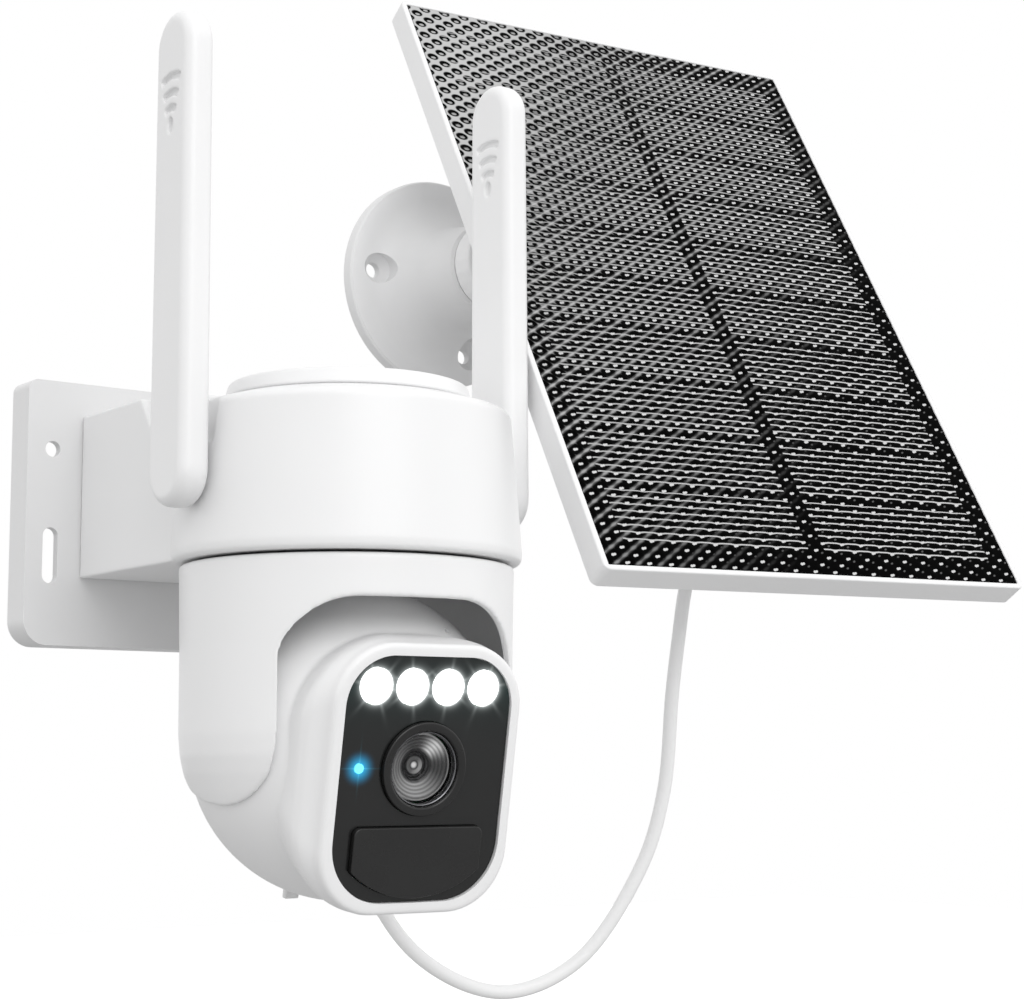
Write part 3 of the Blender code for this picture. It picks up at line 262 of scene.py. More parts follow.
def face_gloss():
    """The black face: a dark grey gloss with the glow of the four lamps and the blue lamp painted on it as emission:
    halos, star rays and a faint band of haze.
    """
    halo_rate, halo_level, ray_rate, ray_level, ray_sharpness, ray_turn = -1700.0, 0.42, -620.0, 0.20, 40.0, 0.7
    haze_rate, blue_near, blue_far, along_rate, across_rate = -190.0, 0.0004, 0.0062, -560.0, -7000.0
    dark, lamp_glow, haze_glow = (0.0, 0.0, 0.0), (0.93, 1.0, 0.99), (0.0, 0.014, 0.013)
    blue_glow, blue_rays = (0.015, 0.42, 0.80), (0.12, 0.55, 0.70)
    s = material("gloss_black")
    smudge = s.noise(60.0, 3.0)
    s.set(Base_Color=s.mix(smudge, (0.0085, 0.0088, 0.0088), (0.0105, 0.0106, 0.0106)),
          Roughness=s.step(smudge, 0.3, 0.7, 0.16, 0.26), Specular_IOR_Level=0.5)
    x, _, z = s.split(s.coords)
    glow = None
    # painted glow: a halo and star rays around each lamp, given off by the face as emission
    for i in range(4):
        dx, dz = s.minus(x, (i - 1.5) * LED_SPACING), s.minus(z, LED_UP)
        out = s.larger(s.minus(s.length(dx, dz), LED_RADIUS), 0.0)
        halo = s.times(s.fade(out, halo_rate), halo_level)
        spoke = s.math("COSINE", s.math("MULTIPLY_ADD", s.math("ARCTAN2", dz, dx), 3.0, 0.5 + ray_turn * i))
        spoke = s.math("POWER", s.size(spoke), ray_sharpness)
        one = s.plus(halo, s.times(spoke, s.times(s.fade(out, ray_rate), ray_level)))
        glow = one if glow is None else s.plus(glow, one)
    haze = s.fade(s.size(s.minus(z, LED_UP)), haze_rate)
    lamps = s.mix(1.0, s.mix(glow, dark, lamp_glow), s.mix(haze, dark, haze_glow), "ADD")
    # painted glow of the blue lamp: a halo and a cross of rays, plus the lamps' painted haze
    dx, dz = s.size(s.minus(x, STATUS_X)), s.size(s.minus(z, LENS_UP))
    halo = s.math("POWER", s.step(s.length(dx, dz), blue_near, blue_far, 1.0, 0.0), 2.0)
    rays = s.plus(s.math("EXPONENT", s.math("MULTIPLY_ADD", dz, across_rate, s.times(dx, along_rate))),
                  s.math("EXPONENT", s.math("MULTIPLY_ADD", dx, across_rate, s.times(dz, along_rate))))
    blue = s.mix(1.0, s.mix(halo, dark, blue_glow), s.mix(rays, dark, blue_rays), "ADD")
    s.set(Emission_Color=s.mix(1.0, lamps, blue, "ADD"), Emission_Strength=1.0)
    return s.mat


def lamp(name, colour, strength):
    """A lit lamp behind a moulded lens with fine facets."""
    s = material(name)
    cells = s.noise(900.0, 1.0)
    s.set(Base_Color=(*colour, 1.0), Roughness=0.25, Emission_Color=(*colour, 1.0),
          Emission_Strength=s.step(cells, 0.3, 0.7, strength * 0.9, strength * 1.1))
    s.bump(cells, 0.3, 0.0002)
    return s.mat


def clear_glass():
    """Coated optical glass with a little dust that dulls it."""
    s = material("glass")
    dust = s.noise(500.0, 3.0)
    s.set(Base_Color=(1.0, 1.0, 1.0, 1.0), Roughness=s.step(dust, 0.5, 0.9, 0.0, 0.02), IOR=1.08,
          Transmission_Weight=1.0, Specular_IOR_Level=0.12)
    return s.mat


def plain_gloss(name, low, high, roughness):
    """Dark grey gloss without the lamps' glow."""
    s = material(name)
    smudge = s.noise(70.0, 3.0)
    s.set(Base_Color=s.mix(smudge, low, high), Roughness=s.step(smudge, 0.3, 0.7, roughness, roughness + 0.1))
    return s.mat


def lens_rings():
    """Blackened lens barrel with turned grooves. Its light from below and from the upper right, its bright rim line
    and its bright centre are painted highlights, given off as emission.
    """
    s = material("lens_rings")
    x, _, z = s.split(s.vector("SUBTRACT", s.coords, (0.0, 0.0, LENS_UP)))
    far = s.length(x, z)
    angle = s.math("ARCTAN2", z, x)
    grooves_per_metre, groove_floor, rim_highlight_level, centre_highlight_level = 6400.0, 0.004, 0.14, 0.55

    def shine(direction, sharpness):
        facing = s.math("COSINE", s.minus(angle, radians(direction)))
        return s.math("POWER", s.larger(facing, 0.0), sharpness)

    def ring(start, full, falling, end):
        """1 between two radii, with soft edges."""
        return s.times(s.step(far, start, full), s.step(far, falling, end, 1.0, 0.0))

    # painted highlights: light from below, from the upper right and from the left, given off as emission
    light = s.plus(s.times(shine(-95.0, 2.0), 0.30), s.times(shine(50.0, 14.0), 0.60))
    light = s.plus(light, s.plus(s.times(shine(175.0, 3.0), 0.10), 0.03))
    cone, rim, inner = (ring(0.0041, 0.0052, 0.0080, 0.0094), ring(0.0088, 0.0090, 0.0092, 0.0094),
                        ring(0.0011, 0.0016, 0.0022, 0.0027))
    core = s.step(far, 0.0004, 0.0012, 1.0, 0.0)
    grooves = s.math("MULTIPLY_ADD", s.math("SINE", s.times(far, grooves_per_metre)), 0.5, 0.5)
    # the barrel's emission: painted highlights on the cone, a faint painted glow in the grooves, a painted bright rim
    # line, a painted lit inner ring and a painted bright centre
    level = s.times(s.times(light, cone), s.math("MULTIPLY_ADD", grooves, 0.45, 0.45))
    level = s.plus(level, s.math("MULTIPLY_ADD", grooves, 0.010, groove_floor))
    level = s.plus(level, s.times(rim, rim_highlight_level))
    level = s.plus(level, s.times(inner, s.math("MULTIPLY_ADD", shine(-30.0, 1.0), 0.16, 0.06)))
    level = s.plus(level, s.times(core, centre_highlight_level))
    s.set(Base_Color=(0.010, 0.010, 0.011, 1.0), Roughness=0.34, Specular_IOR_Level=0.3,
          Emission_Color=s.grey(level), Emission_Strength=1.0)
    s.bump(grooves, 0.3, 0.0001)
    return s.mat


def solar_sheet():
    """Embossed laminate over black cells: two columns of ten cells with fine bright finger lines.

    The reflection of a pale sky in the dimples is painted into the base colour: bright at the panel's upper left and
    going dark towards its lower right, where only a small painted glint is left in each. Lengths are in millimetres.
    """
    per_metre = 1000.0
    pitch_x, pitch_z = DIMPLE_PITCH_X * per_metre, DIMPLE_PITCH_Z * per_metre
    dimple, sky_spot, sky_spot_at = (2.25, 1.62), (1.15, 0.72), (0.25, -0.28)
    glints = (((-0.32, 0.05), (0.78, 0.60)), ((0.42, 0.22), (0.74, 0.52)))
    second_at, second_size, lean_cos, lean_sin = (1.9, -0.9), (0.8, 0.45), 0.87, 0.50
    centre_gap, column_end, cut_edge, cells_top, cell_height, cells_down = 3.25, 75.2, 0.2, 112.0, 22.9, 9.9
    finger_pitch, first_finger, last_finger, pale_fall, pale_middle = 2.68, 0.25, 7.3, 0.62, 0.38
    s = material("solar_cells")
    x, _, z = s.split(s.vector("MULTIPLY", s.coords, (per_metre, per_metre, per_metre)))
    u, v = s.over(x, pitch_x), s.over(z, pitch_z)
    lattices = [(s.times(s.off_centre(s.plus(u, shift)), pitch_x), s.times(s.off_centre(s.plus(v, shift)), pitch_z))
                for shift in (0.0, 0.5)]

    def radius(dx, dz, centre, size):
        """Distance from a point near the dimple's middle, 1 on the edge of an ellipse of that size."""
        return s.length(s.over(s.minus(dx, centre[0]), size[0]), s.over(s.minus(dz, centre[1]), size[1]))

    def slanted(dx, dz, centre, size):
        """Radius in an ellipse that leans over to the right."""
        a, b = s.minus(dx, centre[0]), s.minus(dz, centre[1])
        return radius(s.plus(s.times(a, lean_cos), s.times(b, lean_sin)),
                      s.minus(s.times(b, lean_cos), s.times(a, lean_sin)), (0.0, 0.0), size)

    def nearest(shape, *args):
        return s.math("MINIMUM", *(shape(dx, dz, *args) for dx, dz in lattices))

    def fall(value, full, gone):
        return s.step(value, full, gone, 1.0, 0.0)

    # painted reflection: how much pale sky each point shows, most at the upper left and least at the lower right
    pale = s.plus(s.times(x, -pale_fall / (per_metre * PANEL_WIDTH)),
                  s.math("MULTIPLY_ADD", z, pale_fall / (per_metre * PANEL_HEIGHT), pale_middle))
    edge = nearest(radius, (0.0, 0.0), dimple)
    sky = s.step(pale, 0.50, 0.95)
    net = s.times(s.step(edge, s.step(pale, 0.35, 0.95, 1.30, 0.84), s.step(pale, 0.35, 0.95, 1.75, 1.10)),
                  s.times(s.step(pale, 0.22, 0.90), 0.50))
    off = s.size(s.off_centre(s.minus(u, v)))
    ridge = s.times(fall(off, 0.02, 0.20), s.step(edge, 1.05, 1.50, 0.30, 1.0))
    strand = s.times(ridge, s.times(s.step(pale, 0.10, 0.62), 0.44))
    spot = fall(nearest(radius, sky_spot_at, sky_spot), 0.55, 1.05)
    glint = fall(s.math("MINIMUM", *(nearest(slanted, *lobe) for lobe in glints)), 0.6, 1.0)
    second = fall(nearest(slanted, second_at, second_size), 0.4, 1.0)

    column = s.size(x)
    in_column = s.times(s.step(column, centre_gap, centre_gap + cut_edge),
                        fall(column, column_end, column_end + cut_edge))
    from_top = s.over(s.minus(cells_top, z), cell_height)
    row = s.times(s.math("FRACT", from_top), cell_height)
    in_rows = s.times(s.step(from_top, -0.02, 0.0), fall(from_top, cells_down, cells_down + 0.05))
    ripple = s.times(s.step(edge, 0.2, 1.1), 0.12)
    finger = s.over(s.minus(s.plus(row, ripple), first_finger), finger_pitch)
    near = s.size(s.off_centre(s.plus(finger, 0.5)))
    lines = s.times(fall(near, 0.055, 0.13), fall(finger, last_finger, last_finger + 0.2))
    lines = s.times(s.times(lines, in_column), in_rows)

    # painted reflections in the base colour: the grey net and its strands, the grey centre spots and both glints; the
    # finger lines are real, but their brightness follows the painted sky
    level = s.larger(net, strand)
    layers = ((spot, s.times(sky, 0.40)), (lines, s.step(pale, 0.0, 0.9, 0.58, 0.26)),
              (glint, s.step(pale, 0.45, 0.90, 0.62, 0.0)), (second, s.step(pale, 0.0, 0.45, 0.10, 0.0)))
    for layer, strength in layers:
        level = s.larger(level, s.times(layer, strength))
    s.set(Base_Color=s.grey(s.plus(level, 0.0010)), Roughness=0.45, Specular_IOR_Level=0.01)
    return s.mat


MATERIALS = {name: moulded(name, *look) for name, *look in (
    ("white_plastic", (0.865, 0.865, 0.868), 0.36), ("black_plastic", (0.018, 0.018, 0.019), 0.42, 0.3),
    ("white_rubber", (0.80, 0.80, 0.80), 0.62, 0.35, 900.0), ("gear_plastic", (0.74, 0.72, 0.66), 0.42),
    ("battery_wrap", (0.05, 0.20, 0.55), 0.35))}
MATERIALS |= {
    "steel": metal("steel", (0.60, 0.60, 0.61), 0.30, (1.0, 1.0, 8.0)),
    "brass": metal("brass", (0.76, 0.56, 0.24), 0.32, (1.0, 8.0, 1.0)),
    "lamp_lens": lamp("lamp_lens", (1.0, 1.0, 1.0), 1.6), "status_lamp": lamp("status_lamp", (0.16, 0.70, 0.84), 0.80),
    "gloss_black": face_gloss(), "circuit_board": circuit_board(), "glass": clear_glass(),
    "solar_cells": solar_sheet(),
}
# a darker copy of the white plastic for the wall plate and the flange: painted shade on the pieces at the wall
WALL_WHITE_SHADED = moulded("wall_white_painted_shade", (0.775, 0.775, 0.778), 0.40)
LENS_RINGS = lens_rings()
TRIM_METAL = metal("lens_trim_metal", (0.20, 0.20, 0.21), 0.3)
PIR_GLOSS = plain_gloss("pir_gloss", (0.0095, 0.0095, 0.0095), (0.0120, 0.0120, 0.0120), 0.22)
LENS_GLOSS = plain_gloss("lens_gloss", (0.0080, 0.0080, 0.0080), (0.0100, 0.0100, 0.0100), 0.22)
CABLE = moulded("cable_sleeve", (0.90, 0.90, 0.90), 0.42, grain=0.25, grain_scale=500.0)
WHITE = MATERIALS["white_plastic"]

for node, obj in NODES.items():
    obj.data.materials.clear()
    obj.data.materials.append(MATERIALS[SLOTS[node]])


# ---- mesh helpers
def add_object(name, data, home=STILL):
    obj = bpy.data.objects.new(name, data)
    bpy.context.scene.collection.objects.link(obj)
    obj.matrix_world = home
    return obj


def mesh_of(obj):
    """The object's mesh as its modifiers leave it."""
    graph = bpy.context.evaluated_depsgraph_get()
    return bpy.data.meshes.new_from_object(obj.evaluated_get(graph), depsgraph=graph)


def clean(mesh, merge, flat=False):
    """Doubled points merged, flat faces joined if asked, and every normal out."""
    bm = bmesh.new()
    bm.from_mesh(mesh)
    bmesh.ops.remove_doubles(bm, verts=bm.verts, dist=merge)
    if flat:
        bmesh.ops.dissolve_limit(bm, angle_limit=0.001, verts=bm.verts, edges=bm.edges)
    bmesh.ops.recalc_face_normals(bm, faces=bm.faces)
    bm.to_mesh(mesh)
    bm.free()


def from_data(name, verts, faces, home, place=STILL):
    """A mesh object in its home frame, its points first moved by place inside that frame."""
    mesh = bpy.data.meshes.new(name)
    mesh.from_pydata([tuple(place @ Vector(v)) for v in verts], [], faces)
    clean(mesh, 1e-7)
    return add_object(name, mesh, home)


def lathe(name, profile, home, place=STILL, steps=96, closed=False):
    verts, faces, rows = [], [], []
    for r, z in profile:
        if r < 1e-7:
            rows.append([len(verts)] * steps)
            verts.append((0.0, 0.0, z))
        else:
            rows.append(list(range(len(verts), len(verts) + steps)))
            verts += [(r * cos(2 * pi * i / steps), r * sin(2 * pi * i / steps), z) for i in range(steps)]
    for a, b in zip(rows, rows[1:] + ([rows[0]] if closed else [])):
        for i in range(steps):
            j = (i + 1) % steps
            face = list(dict.fromkeys((a[i], b[i], b[j], a[j])))
            if len(face) > 2:
                faces.append(face)
    return from_data(name, verts, faces, home, place)


def rounded_profile(points, radius, steps=4):
    """Profile corners rounded: each inner corner becomes an arc-like curve."""
    out = [points[0]]
    for before, corner, after in zip(points, points[1:], points[2:]):
        b, c, a = Vector(before), Vector(corner), Vector(after)
        reach_in = min(radius, (b - c).length * 0.45)
        reach_out = min(radius, (a - c).length * 0.45)
        start, end = c + (b - c).normalized() * reach_in, c + (a - c).normalized() * reach_out
        for i in range(steps + 1):
            t = i / steps
            out.append(tuple(start * (1 - t) ** 2 + c * 2 * t * (1 - t) + end * t * t))
    out.append(points[-1])
    return out


def arc(centre, radius, start, end, steps):
    angles = [radians(start + (end - start) * i / steps) for i in range(steps + 1)]
    return [(centre[0] + radius * cos(a), centre[1] + radius * sin(a)) for a in angles]


def circle(radius, centre=(0.0, 0.0), steps=48):
    return arc(centre, radius, 0, 360 - 360 / steps, steps - 1)


def rounded_outline(width, height, top, bottom, steps=12):
    w, h = width / 2, height / 2
    return (arc((w - top, h - top), top, 0, 90, steps) + arc((top - w, h - top), top, 90, 180, steps)
            + arc((bottom - w, bottom - h), bottom, 180, 270, steps)
            + arc((w - bottom, bottom - h), bottom, 270, 360, steps))


def plate(name, outline, thickness, home, place=ALONG_Y, holes=()):
    """A flat outline with its holes, given thickness about its middle."""
    curve = bpy.data.curves.new(name, "CURVE")
    curve.dimensions, curve.fill_mode, curve.extrude = "2D", "BOTH", thickness / 2
    for loop in (outline, *holes):
        spline = curve.splines.new("POLY")
        spline.points.add(len(loop) - 1)
        for point, (u, v) in zip(spline.points, loop):
            point.co = (u, v, 0.0, 1.0)
        spline.use_cyclic_u = True
    drawn = add_object(name, curve)
    mesh = mesh_of(drawn)
    bpy.data.objects.remove(drawn, do_unlink=True)
    clean(mesh, 1e-5, flat=True)
    mesh.transform(place)
    mesh.name = name
    return add_object(name, mesh, home)


def box(name, size, home, place):
    verts = [(sx * size[0] / 2, sy * size[1] / 2, sz * size[2] / 2)
             for sx in (-1, 1) for sy in (-1, 1) for sz in (-1, 1)]
    faces = [(0, 1, 3, 2), (4, 6, 7, 5), (0, 4, 5, 1), (2, 3, 7, 6), (0, 2, 6, 4), (1, 5, 7, 3)]
    return from_data(name, verts, faces, home, place)


def ball(name, radius, home, steps):
    half = steps // 2
    profile = [(radius * sin(pi * i / half), radius * cos(pi * i / half)) for i in range(half + 1)]
    return lathe(name, profile, home, steps=steps)


def rod(name, radius, length, home, place, steps=48):
    return lathe(name, [(0.0, length / 2), (radius, length / 2), (radius, -length / 2), (0.0, -length / 2)],
                 home, place, steps)


def loft(name, sections, home):
    """A closed skin through sections that each have the same number of points."""
    verts, faces, count = [p for section in sections for p in section], [], len(sections[0])
    for k in range(len(sections) - 1):
        for i in range(count):
            j = (i + 1) % count
            faces.append((k * count + i, k * count + j, (k + 1) * count + j, (k + 1) * count + i))
    faces.append(tuple(range(count)))
    faces.append(tuple(range((len(sections) - 1) * count, len(sections) * count)))
    return from_data(name, verts, faces, home)


def tube(name, path, radius, sides=20):
    """A round lead along a path of points, its ends closed."""
    sections, side = [], Vector((1.0, 0.0, 0.0))
    for k, point in enumerate(path):
        along = (path[min(k + 1, len(path) - 1)] - path[max(k - 1, 0)]).normalized()
        side = (side - along * side.dot(along)).normalized()
        other = along.cross(side)
        angles = [2 * pi * i / sides for i in range(sides)]
        sections.append([point + radius * (cos(a) * side + sin(a) * other) for a in angles])
    return loft(name, sections, STILL)


def bake(obj):
    """The object's modifiers made permanent."""
    mesh = mesh_of(obj)
    obj.modifiers.clear()
    mesh.name = obj.name
    obj.data = mesh


def combine(obj, tools, operation="DIFFERENCE"):
    """Cuts the tools out of the object, or joins or crosses it with them, and throws the tools away."""
    for tool in tools:
        mod = obj.modifiers.new(tool.name, "BOOLEAN")
        mod.operation, mod.solver, mod.object = operation, "EXACT", tool
    bake(obj)
    for tool in tools:
        bpy.data.objects.remove(tool, do_unlink=True)


def skin(obj, voxel, passes):
    """Modifiers for an even skin with every edge softly rounded, as a moulding tool leaves it."""
    remesh = obj.modifiers.new("skin", "REMESH")
    remesh.mode, remesh.voxel_size = "VOXEL", voxel
    smooth = obj.modifiers.new("round", "SMOOTH")
    smooth.factor, smooth.iterations = 0.5, passes
    return remesh


def soften(obj, voxel, passes):
    skin(obj, voxel, passes)
    bake(obj)


def finish_piece(obj, surface, body, *nodes, round_edges=0.0, segments=3, sharp=35.0, slot=None):
    """Rounded edges, smooth shading, a material, a body to ride on and the CAD nodes the piece stands for."""
    if round_edges:
        mod = obj.modifiers.new("rounded_edges", "BEVEL")
        mod.width, mod.segments, mod.limit_method, mod.angle_limit = round_edges, segments, "ANGLE", radians(sharp)
        bake(obj)
        obj.data.shade_smooth()
        weighted = obj.modifiers.new("even_shading", "WEIGHTED_NORMAL")
        weighted.keep_sharp, weighted.weight = True, 90
    else:
        obj.data.shade_smooth()
        obj.data.set_sharp_from_angle(angle=radians(sharp))
    obj.data.materials.clear()
    obj.data.materials.append(surface)
    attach(obj, body)
    if nodes:
        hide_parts(*nodes)


# ---- wall plate, housing and cap
def build_wall_plate():
    """The back plate: two round holes, two upright slots and a hollow back with a rib down its middle."""
    low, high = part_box("wall_plate")
    width, depth, height = high - low
    hole_x, hole_z, slot_x, slot_low, slot_high, hole_radius = 0.0568, 0.0201, 0.0570, -0.0200, -0.0074, 0.0025
    top_corner, bottom_corner, edge_round = 0.0032, 0.0080, 0.0008
    front_wall, side_wall, end_wall, rib = 0.0032, 0.0024, 0.0090, 0.0170
    holes = []
    for side in (-1, 1):
        holes.append(circle(hole_radius, (side * hole_x, hole_z), 32))
        holes.append(arc((side * slot_x, slot_high), hole_radius, 0, 180, 14)
                     + arc((side * slot_x, slot_low), hole_radius, 180, 360, 14))
    body = plate("wall_plate_skin", rounded_outline(width, height, top_corner, bottom_corner), depth,
                 at(*((low + high) / 2)), holes=holes)
    pocket = (width - rib) / 2 - side_wall
    combine(body, [box(f"pocket_{side}", (pocket, 2 * (depth - front_wall), height - 2 * end_wall), body.matrix_world,
                       at(side * (rib + pocket) / 2, depth / 2, 0.0)) for side in (-1, 1)])
    finish_piece(body, WALL_WHITE_SHADED, "base", "wall_plate", round_edges=edge_round)


def build_housing():
    """The drum and its neck in one shell, and the lid on top."""
    cap_gap, shoulder_in, shoulder_round, lip_up, foot_up, foot_in = 0.0006, 0.0014, 0.0010, 0.0030, 0.0008, 0.0012
    profile = [(0.0, SHOULDER_UP), (CAP_RADIUS + cap_gap, SHOULDER_UP),
               (DRUM_TOP_RADIUS - shoulder_in, DRUM_SIDE_UP + 0.0007),
               (DRUM_TOP_RADIUS, DRUM_SIDE_UP - shoulder_round), (DRUM_RADIUS, lip_up),
               (DRUM_RADIUS - 0.0003, foot_up), (DRUM_RADIUS - foot_in, 0.0), (0.0, 0.0)]
    housing = lathe("housing_skin", profile, DRUM, steps=160)
    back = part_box("main_housing")[1].y
    neck_low, web_low, web_high, web_length, web_behind, web_in = 0.0003, 0.0006, 0.0437, 0.045, 0.012, 0.0002
    neck = box("neck", (2 * NECK_HALF_WIDTH, back - NECK_END_Y, NECK_TOP_UP - neck_low), DRUM,
               at(0.0, (back + NECK_END_Y) / 2 - PAN_AT.y, (NECK_TOP_UP + neck_low) / 2))
    web = box("web", (2 * NECK_HALF_WIDTH - web_in, web_length, web_high - web_low), DRUM,
              at(0.0, NECK_END_Y - web_behind - PAN_AT.y, (web_high + web_low) / 2))
    combine(housing, [web, neck], "UNION")
    recess = ((0.0325, 0.0479, -0.0060, 0.0300), (0.0560, 0.0435, -0.0080, 0.0465))  # up, floor, front, rear
    recess_out = 0.0600
    pockets = []
    for side in (-1, 1):
        sections = [[(side * floor, front, up), (side * recess_out, front, up), (side * recess_out, rear, up),
                     (side * floor, rear, up)] for up, floor, front, rear in recess]
        pockets.append(loft(f"antenna_pocket_{side}", sections, DRUM))
    combine(housing, pockets)
    soften(housing, 0.00060, 3)
    pivot_up = JOINTS["antenna_left_fold"]["pos_m"][2] - PAN_AT.z
    low, step, top, wide, narrow = -0.001, 0.0280, 0.0402, 0.0461, 0.0446  # the stepped hollow inside the drum
    combine(housing, [
        rod("cap_seat", CAP_RADIUS + 0.0005, 0.02, DRUM, at(0, 0, SHOULDER_UP + 0.00985), steps=96),
        rod("pivot_hole", 0.0049, THROUGH, DRUM, at(z=pivot_up) @ ALONG_X),
        lathe("drum_hollow", [(0.0, top), (narrow, top), (narrow, step), (wide, step), (wide, low), (0.0, low)], DRUM,
              steps=80),
        rod("top_opening", 0.0300, 0.02, DRUM, at(0, 0, SHOULDER_UP - 0.001)),
        rod("gland_hole", 0.0046, 0.02, at(0.020, -0.033, PAN_AT.z), STILL),
    ])
    finish_piece(housing, WHITE, "base", "main_housing", sharp=50.0)

    base, spigot, spigot_up = SHOULDER_UP + 0.0003, 0.029, 0.0025
    cap = rounded_profile([(0.0, CAP_TOP_UP), (CAP_TOP_RADIUS, CAP_TOP_UP), (CAP_RADIUS, base), (spigot, base),
                           (spigot, base + spigot_up), (0.0, base + spigot_up)], 0.0012)
    finish_piece(lathe("top_cap_skin", cap, DRUM, steps=128), WHITE, "base", "top_cap", sharp=60.0)


# ---- antennas
def build_antennas():
    """Two tapered masts with round ends, each with a generic signal mark pressed into both faces."""
    taper, edge_round, bore_radius, bore_length, bore_in = 0.03, 0.0034, 0.0029, 0.0064, 0.0026
    mark_down, mark_depth, dot_radius, dot_stretch, half_band = 0.0345, 0.0032, 0.0016, 1.5, 0.00105
    mark_arcs = ((0.0052, 37.0), (0.0097, 27.0), (0.0146, 22.5))  # radius, half the angle
    for side, word in ((-1, "left"), (1, "right")):
        low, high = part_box(f"antenna_{word}")
        width, length, thick = (high.y - low.y) / (1 + taper), high.z - low.z, (high.x - low.x) / (1 + taper)
        pivot_up = JOINTS[f"antenna_{word}_fold"]["pos_m"][2] - (low.z + high.z) / 2
        place = Matrix.Translation((low + high) / 2)
        end, straight = width / 2, length / 2 - width / 2
        outline = arc((0.0, straight), end, 0, 180, 32) + arc((0.0, -straight), end, 180, 360, 32)
        mast = plate(f"antenna_{word}_skin", outline, thick, place, SIDEWAYS)
        bevel = mast.modifiers.new("rounded_edges", "BEVEL")
        bevel.width, bevel.segments, bevel.limit_method = edge_round, 7, "ANGLE"
        bevel.angle_limit = radians(40)
        bake(mast)
        for vertex in mast.data.vertices:
            grow = 1 - taper * vertex.co.z / (length / 2)
            vertex.co.x *= grow
            vertex.co.y *= grow
        cuts = [rod("antenna_bore", bore_radius, bore_length, place,
                    at(-side * (thick / 2 - bore_in), 0.0, pivot_up) @ ALONG_X)]
        dot_up = length / 2 - mark_down
        for face in (-1, 1):
            shift = at(face * (thick / 2 + 0.0001), 0.0, 0.0) @ SIDEWAYS
            dot = [(u, dot_stretch * v + dot_up) for u, v in circle(dot_radius)]
            cuts.append(plate(f"mark_dot_{face}", dot, mark_depth, place, shift))
            for k, (radius, spread) in enumerate(mark_arcs):
                band = (arc((0.0, dot_up), radius + half_band, 90 - spread, 90 + spread, 16)
                        + arc((0.0, dot_up), radius - half_band, 90 + spread, 90 - spread, 16))
                cuts.append(plate(f"mark_arc_{face}_{k}", band, mark_depth, place, shift))
        combine(mast, cuts)
        soften(mast, 0.00036, 2)
        finish_piece(mast, WHITE, f"antenna_{word}", f"antenna_{word}", sharp=60.0)


# ---- yoke
def build_yoke():
    """A round fork: a hollow shell with an arch cut through it from front to back, its arms rounded below."""
    outside = [(0.0, -0.0007), (0.0489, -0.0007), (0.0495, -0.0013), (0.0490, -0.0250), (0.0489, -0.0500),
               (0.0484, -0.0560), (0.0473, -0.0610), (0.0457, -0.0660), (0.0440, -0.0702), (0.0, -0.0702)]
    shell = lathe("yoke_skin", outside, YOKE, steps=160)
    cavity, ceiling = 0.0466, -0.0030 - TILT_UP
    inside = [(0.0, ceiling), (cavity, ceiling)] + arc((0.0, 0.0), cavity, 0, -86, 28) + [(0.0, -cavity)]
    room = lathe("room", inside, YOKE, at(0, 0, TILT_UP), steps=144)
    half, top, left, right, low = 0.0378, -0.0130, 0.0180, 0.0260, -0.0900
    arch = (arc((half - right, top - right), right, 0, 90, 24) + arc((left - half, top - left), left, 90, 180, 24)
            + [(-half, low), (half, low)])
    arch_cut = plate("arch_cut", arch, THROUGH, YOKE)
    front, back, centre, spring, drop, keep_side, keep_top = 0.0312, -0.0290, 0.0090, -0.0470, 0.0230, 0.060, 0.010
    end = [(keep_side, spring), (front, spring)]
    for i in range(1, 40):
        angle = pi * i / 40
        reach = front - centre if cos(angle) > 0 else centre - back
        end.append((centre + reach * cos(angle), spring - drop * sin(angle)))
    end += [(back, spring), (-keep_side, spring), (-keep_side, keep_top), (keep_side, keep_top)]
    keep = plate("arm_keep", end, THROUGH, YOKE, Matrix.Rotation(-pi / 2, 4, "Z") @ ALONG_Y)
    axle_radius, axle_hole, hub_radius, hub_length, hub_up, wire_hole = 0.0043, 0.0956, 0.0120, 0.0125, 0.0040, 0.0070
    combine(shell, [room, arch_cut])
    combine(shell, [keep], "INTERSECT")
    combine(shell, [rod("axle_hole", axle_radius, axle_hole, YOKE, at(0, 0, TILT_UP) @ ALONG_X)])
    combine(shell, [rod("hub", hub_radius, hub_length, YOKE, at(0, 0, hub_up))], "UNION")
    combine(shell, [rod("wire_way", wire_hole, 0.03, YOKE, at(0, 0, hub_up))])
    soften(shell, 0.00055, 14)
    finish_piece(shell, WHITE, "yoke", "yoke_shell", sharp=60.0)


# ---- head
def snout_sections(inset=0.0):
    """Sections from the rim backwards: distance behind it, extra half width and half height, corner radius."""
    rows = ((0.0, -0.0010, -0.0010, 0.0170), (0.0003, -0.0004, -0.0004, 0.0174), (0.0010, 0.0, 0.0, 0.0178),
            (0.0034, 0.0003, 0.0001, 0.0182), (0.0052, 0.0012, 0.0004, 0.0190), (0.0078, 0.0031, 0.0007, 0.0220),
            (0.0105, 0.0041, 0.0008, 0.0245), (0.0150, 0.0046, 0.0006, 0.0280), (0.0230, 0.0046, -0.0004, 0.0310),
            (0.0330, 0.0042, -0.0020, 0.0320))
    half_w, half_h = FACE_WIDTH / 2 + RIM_WIDTH, FACE_HEIGHT / 2 + RIM_WIDTH
    front, rim_ends, sections = FACE_FRONT + 0.0009, FACE_FRONT - 0.002, []
    for back, w, h, corner in rows:
        reach = front - back
        reach -= inset if reach > rim_ends else 0.0
        outline = rounded_outline(2 * (half_w + w - inset), 2 * (half_h + h - inset), corner, corner, 16)
        sections.append([(x, -reach, z + FACE_UP) for x, z in outline])
    return sections


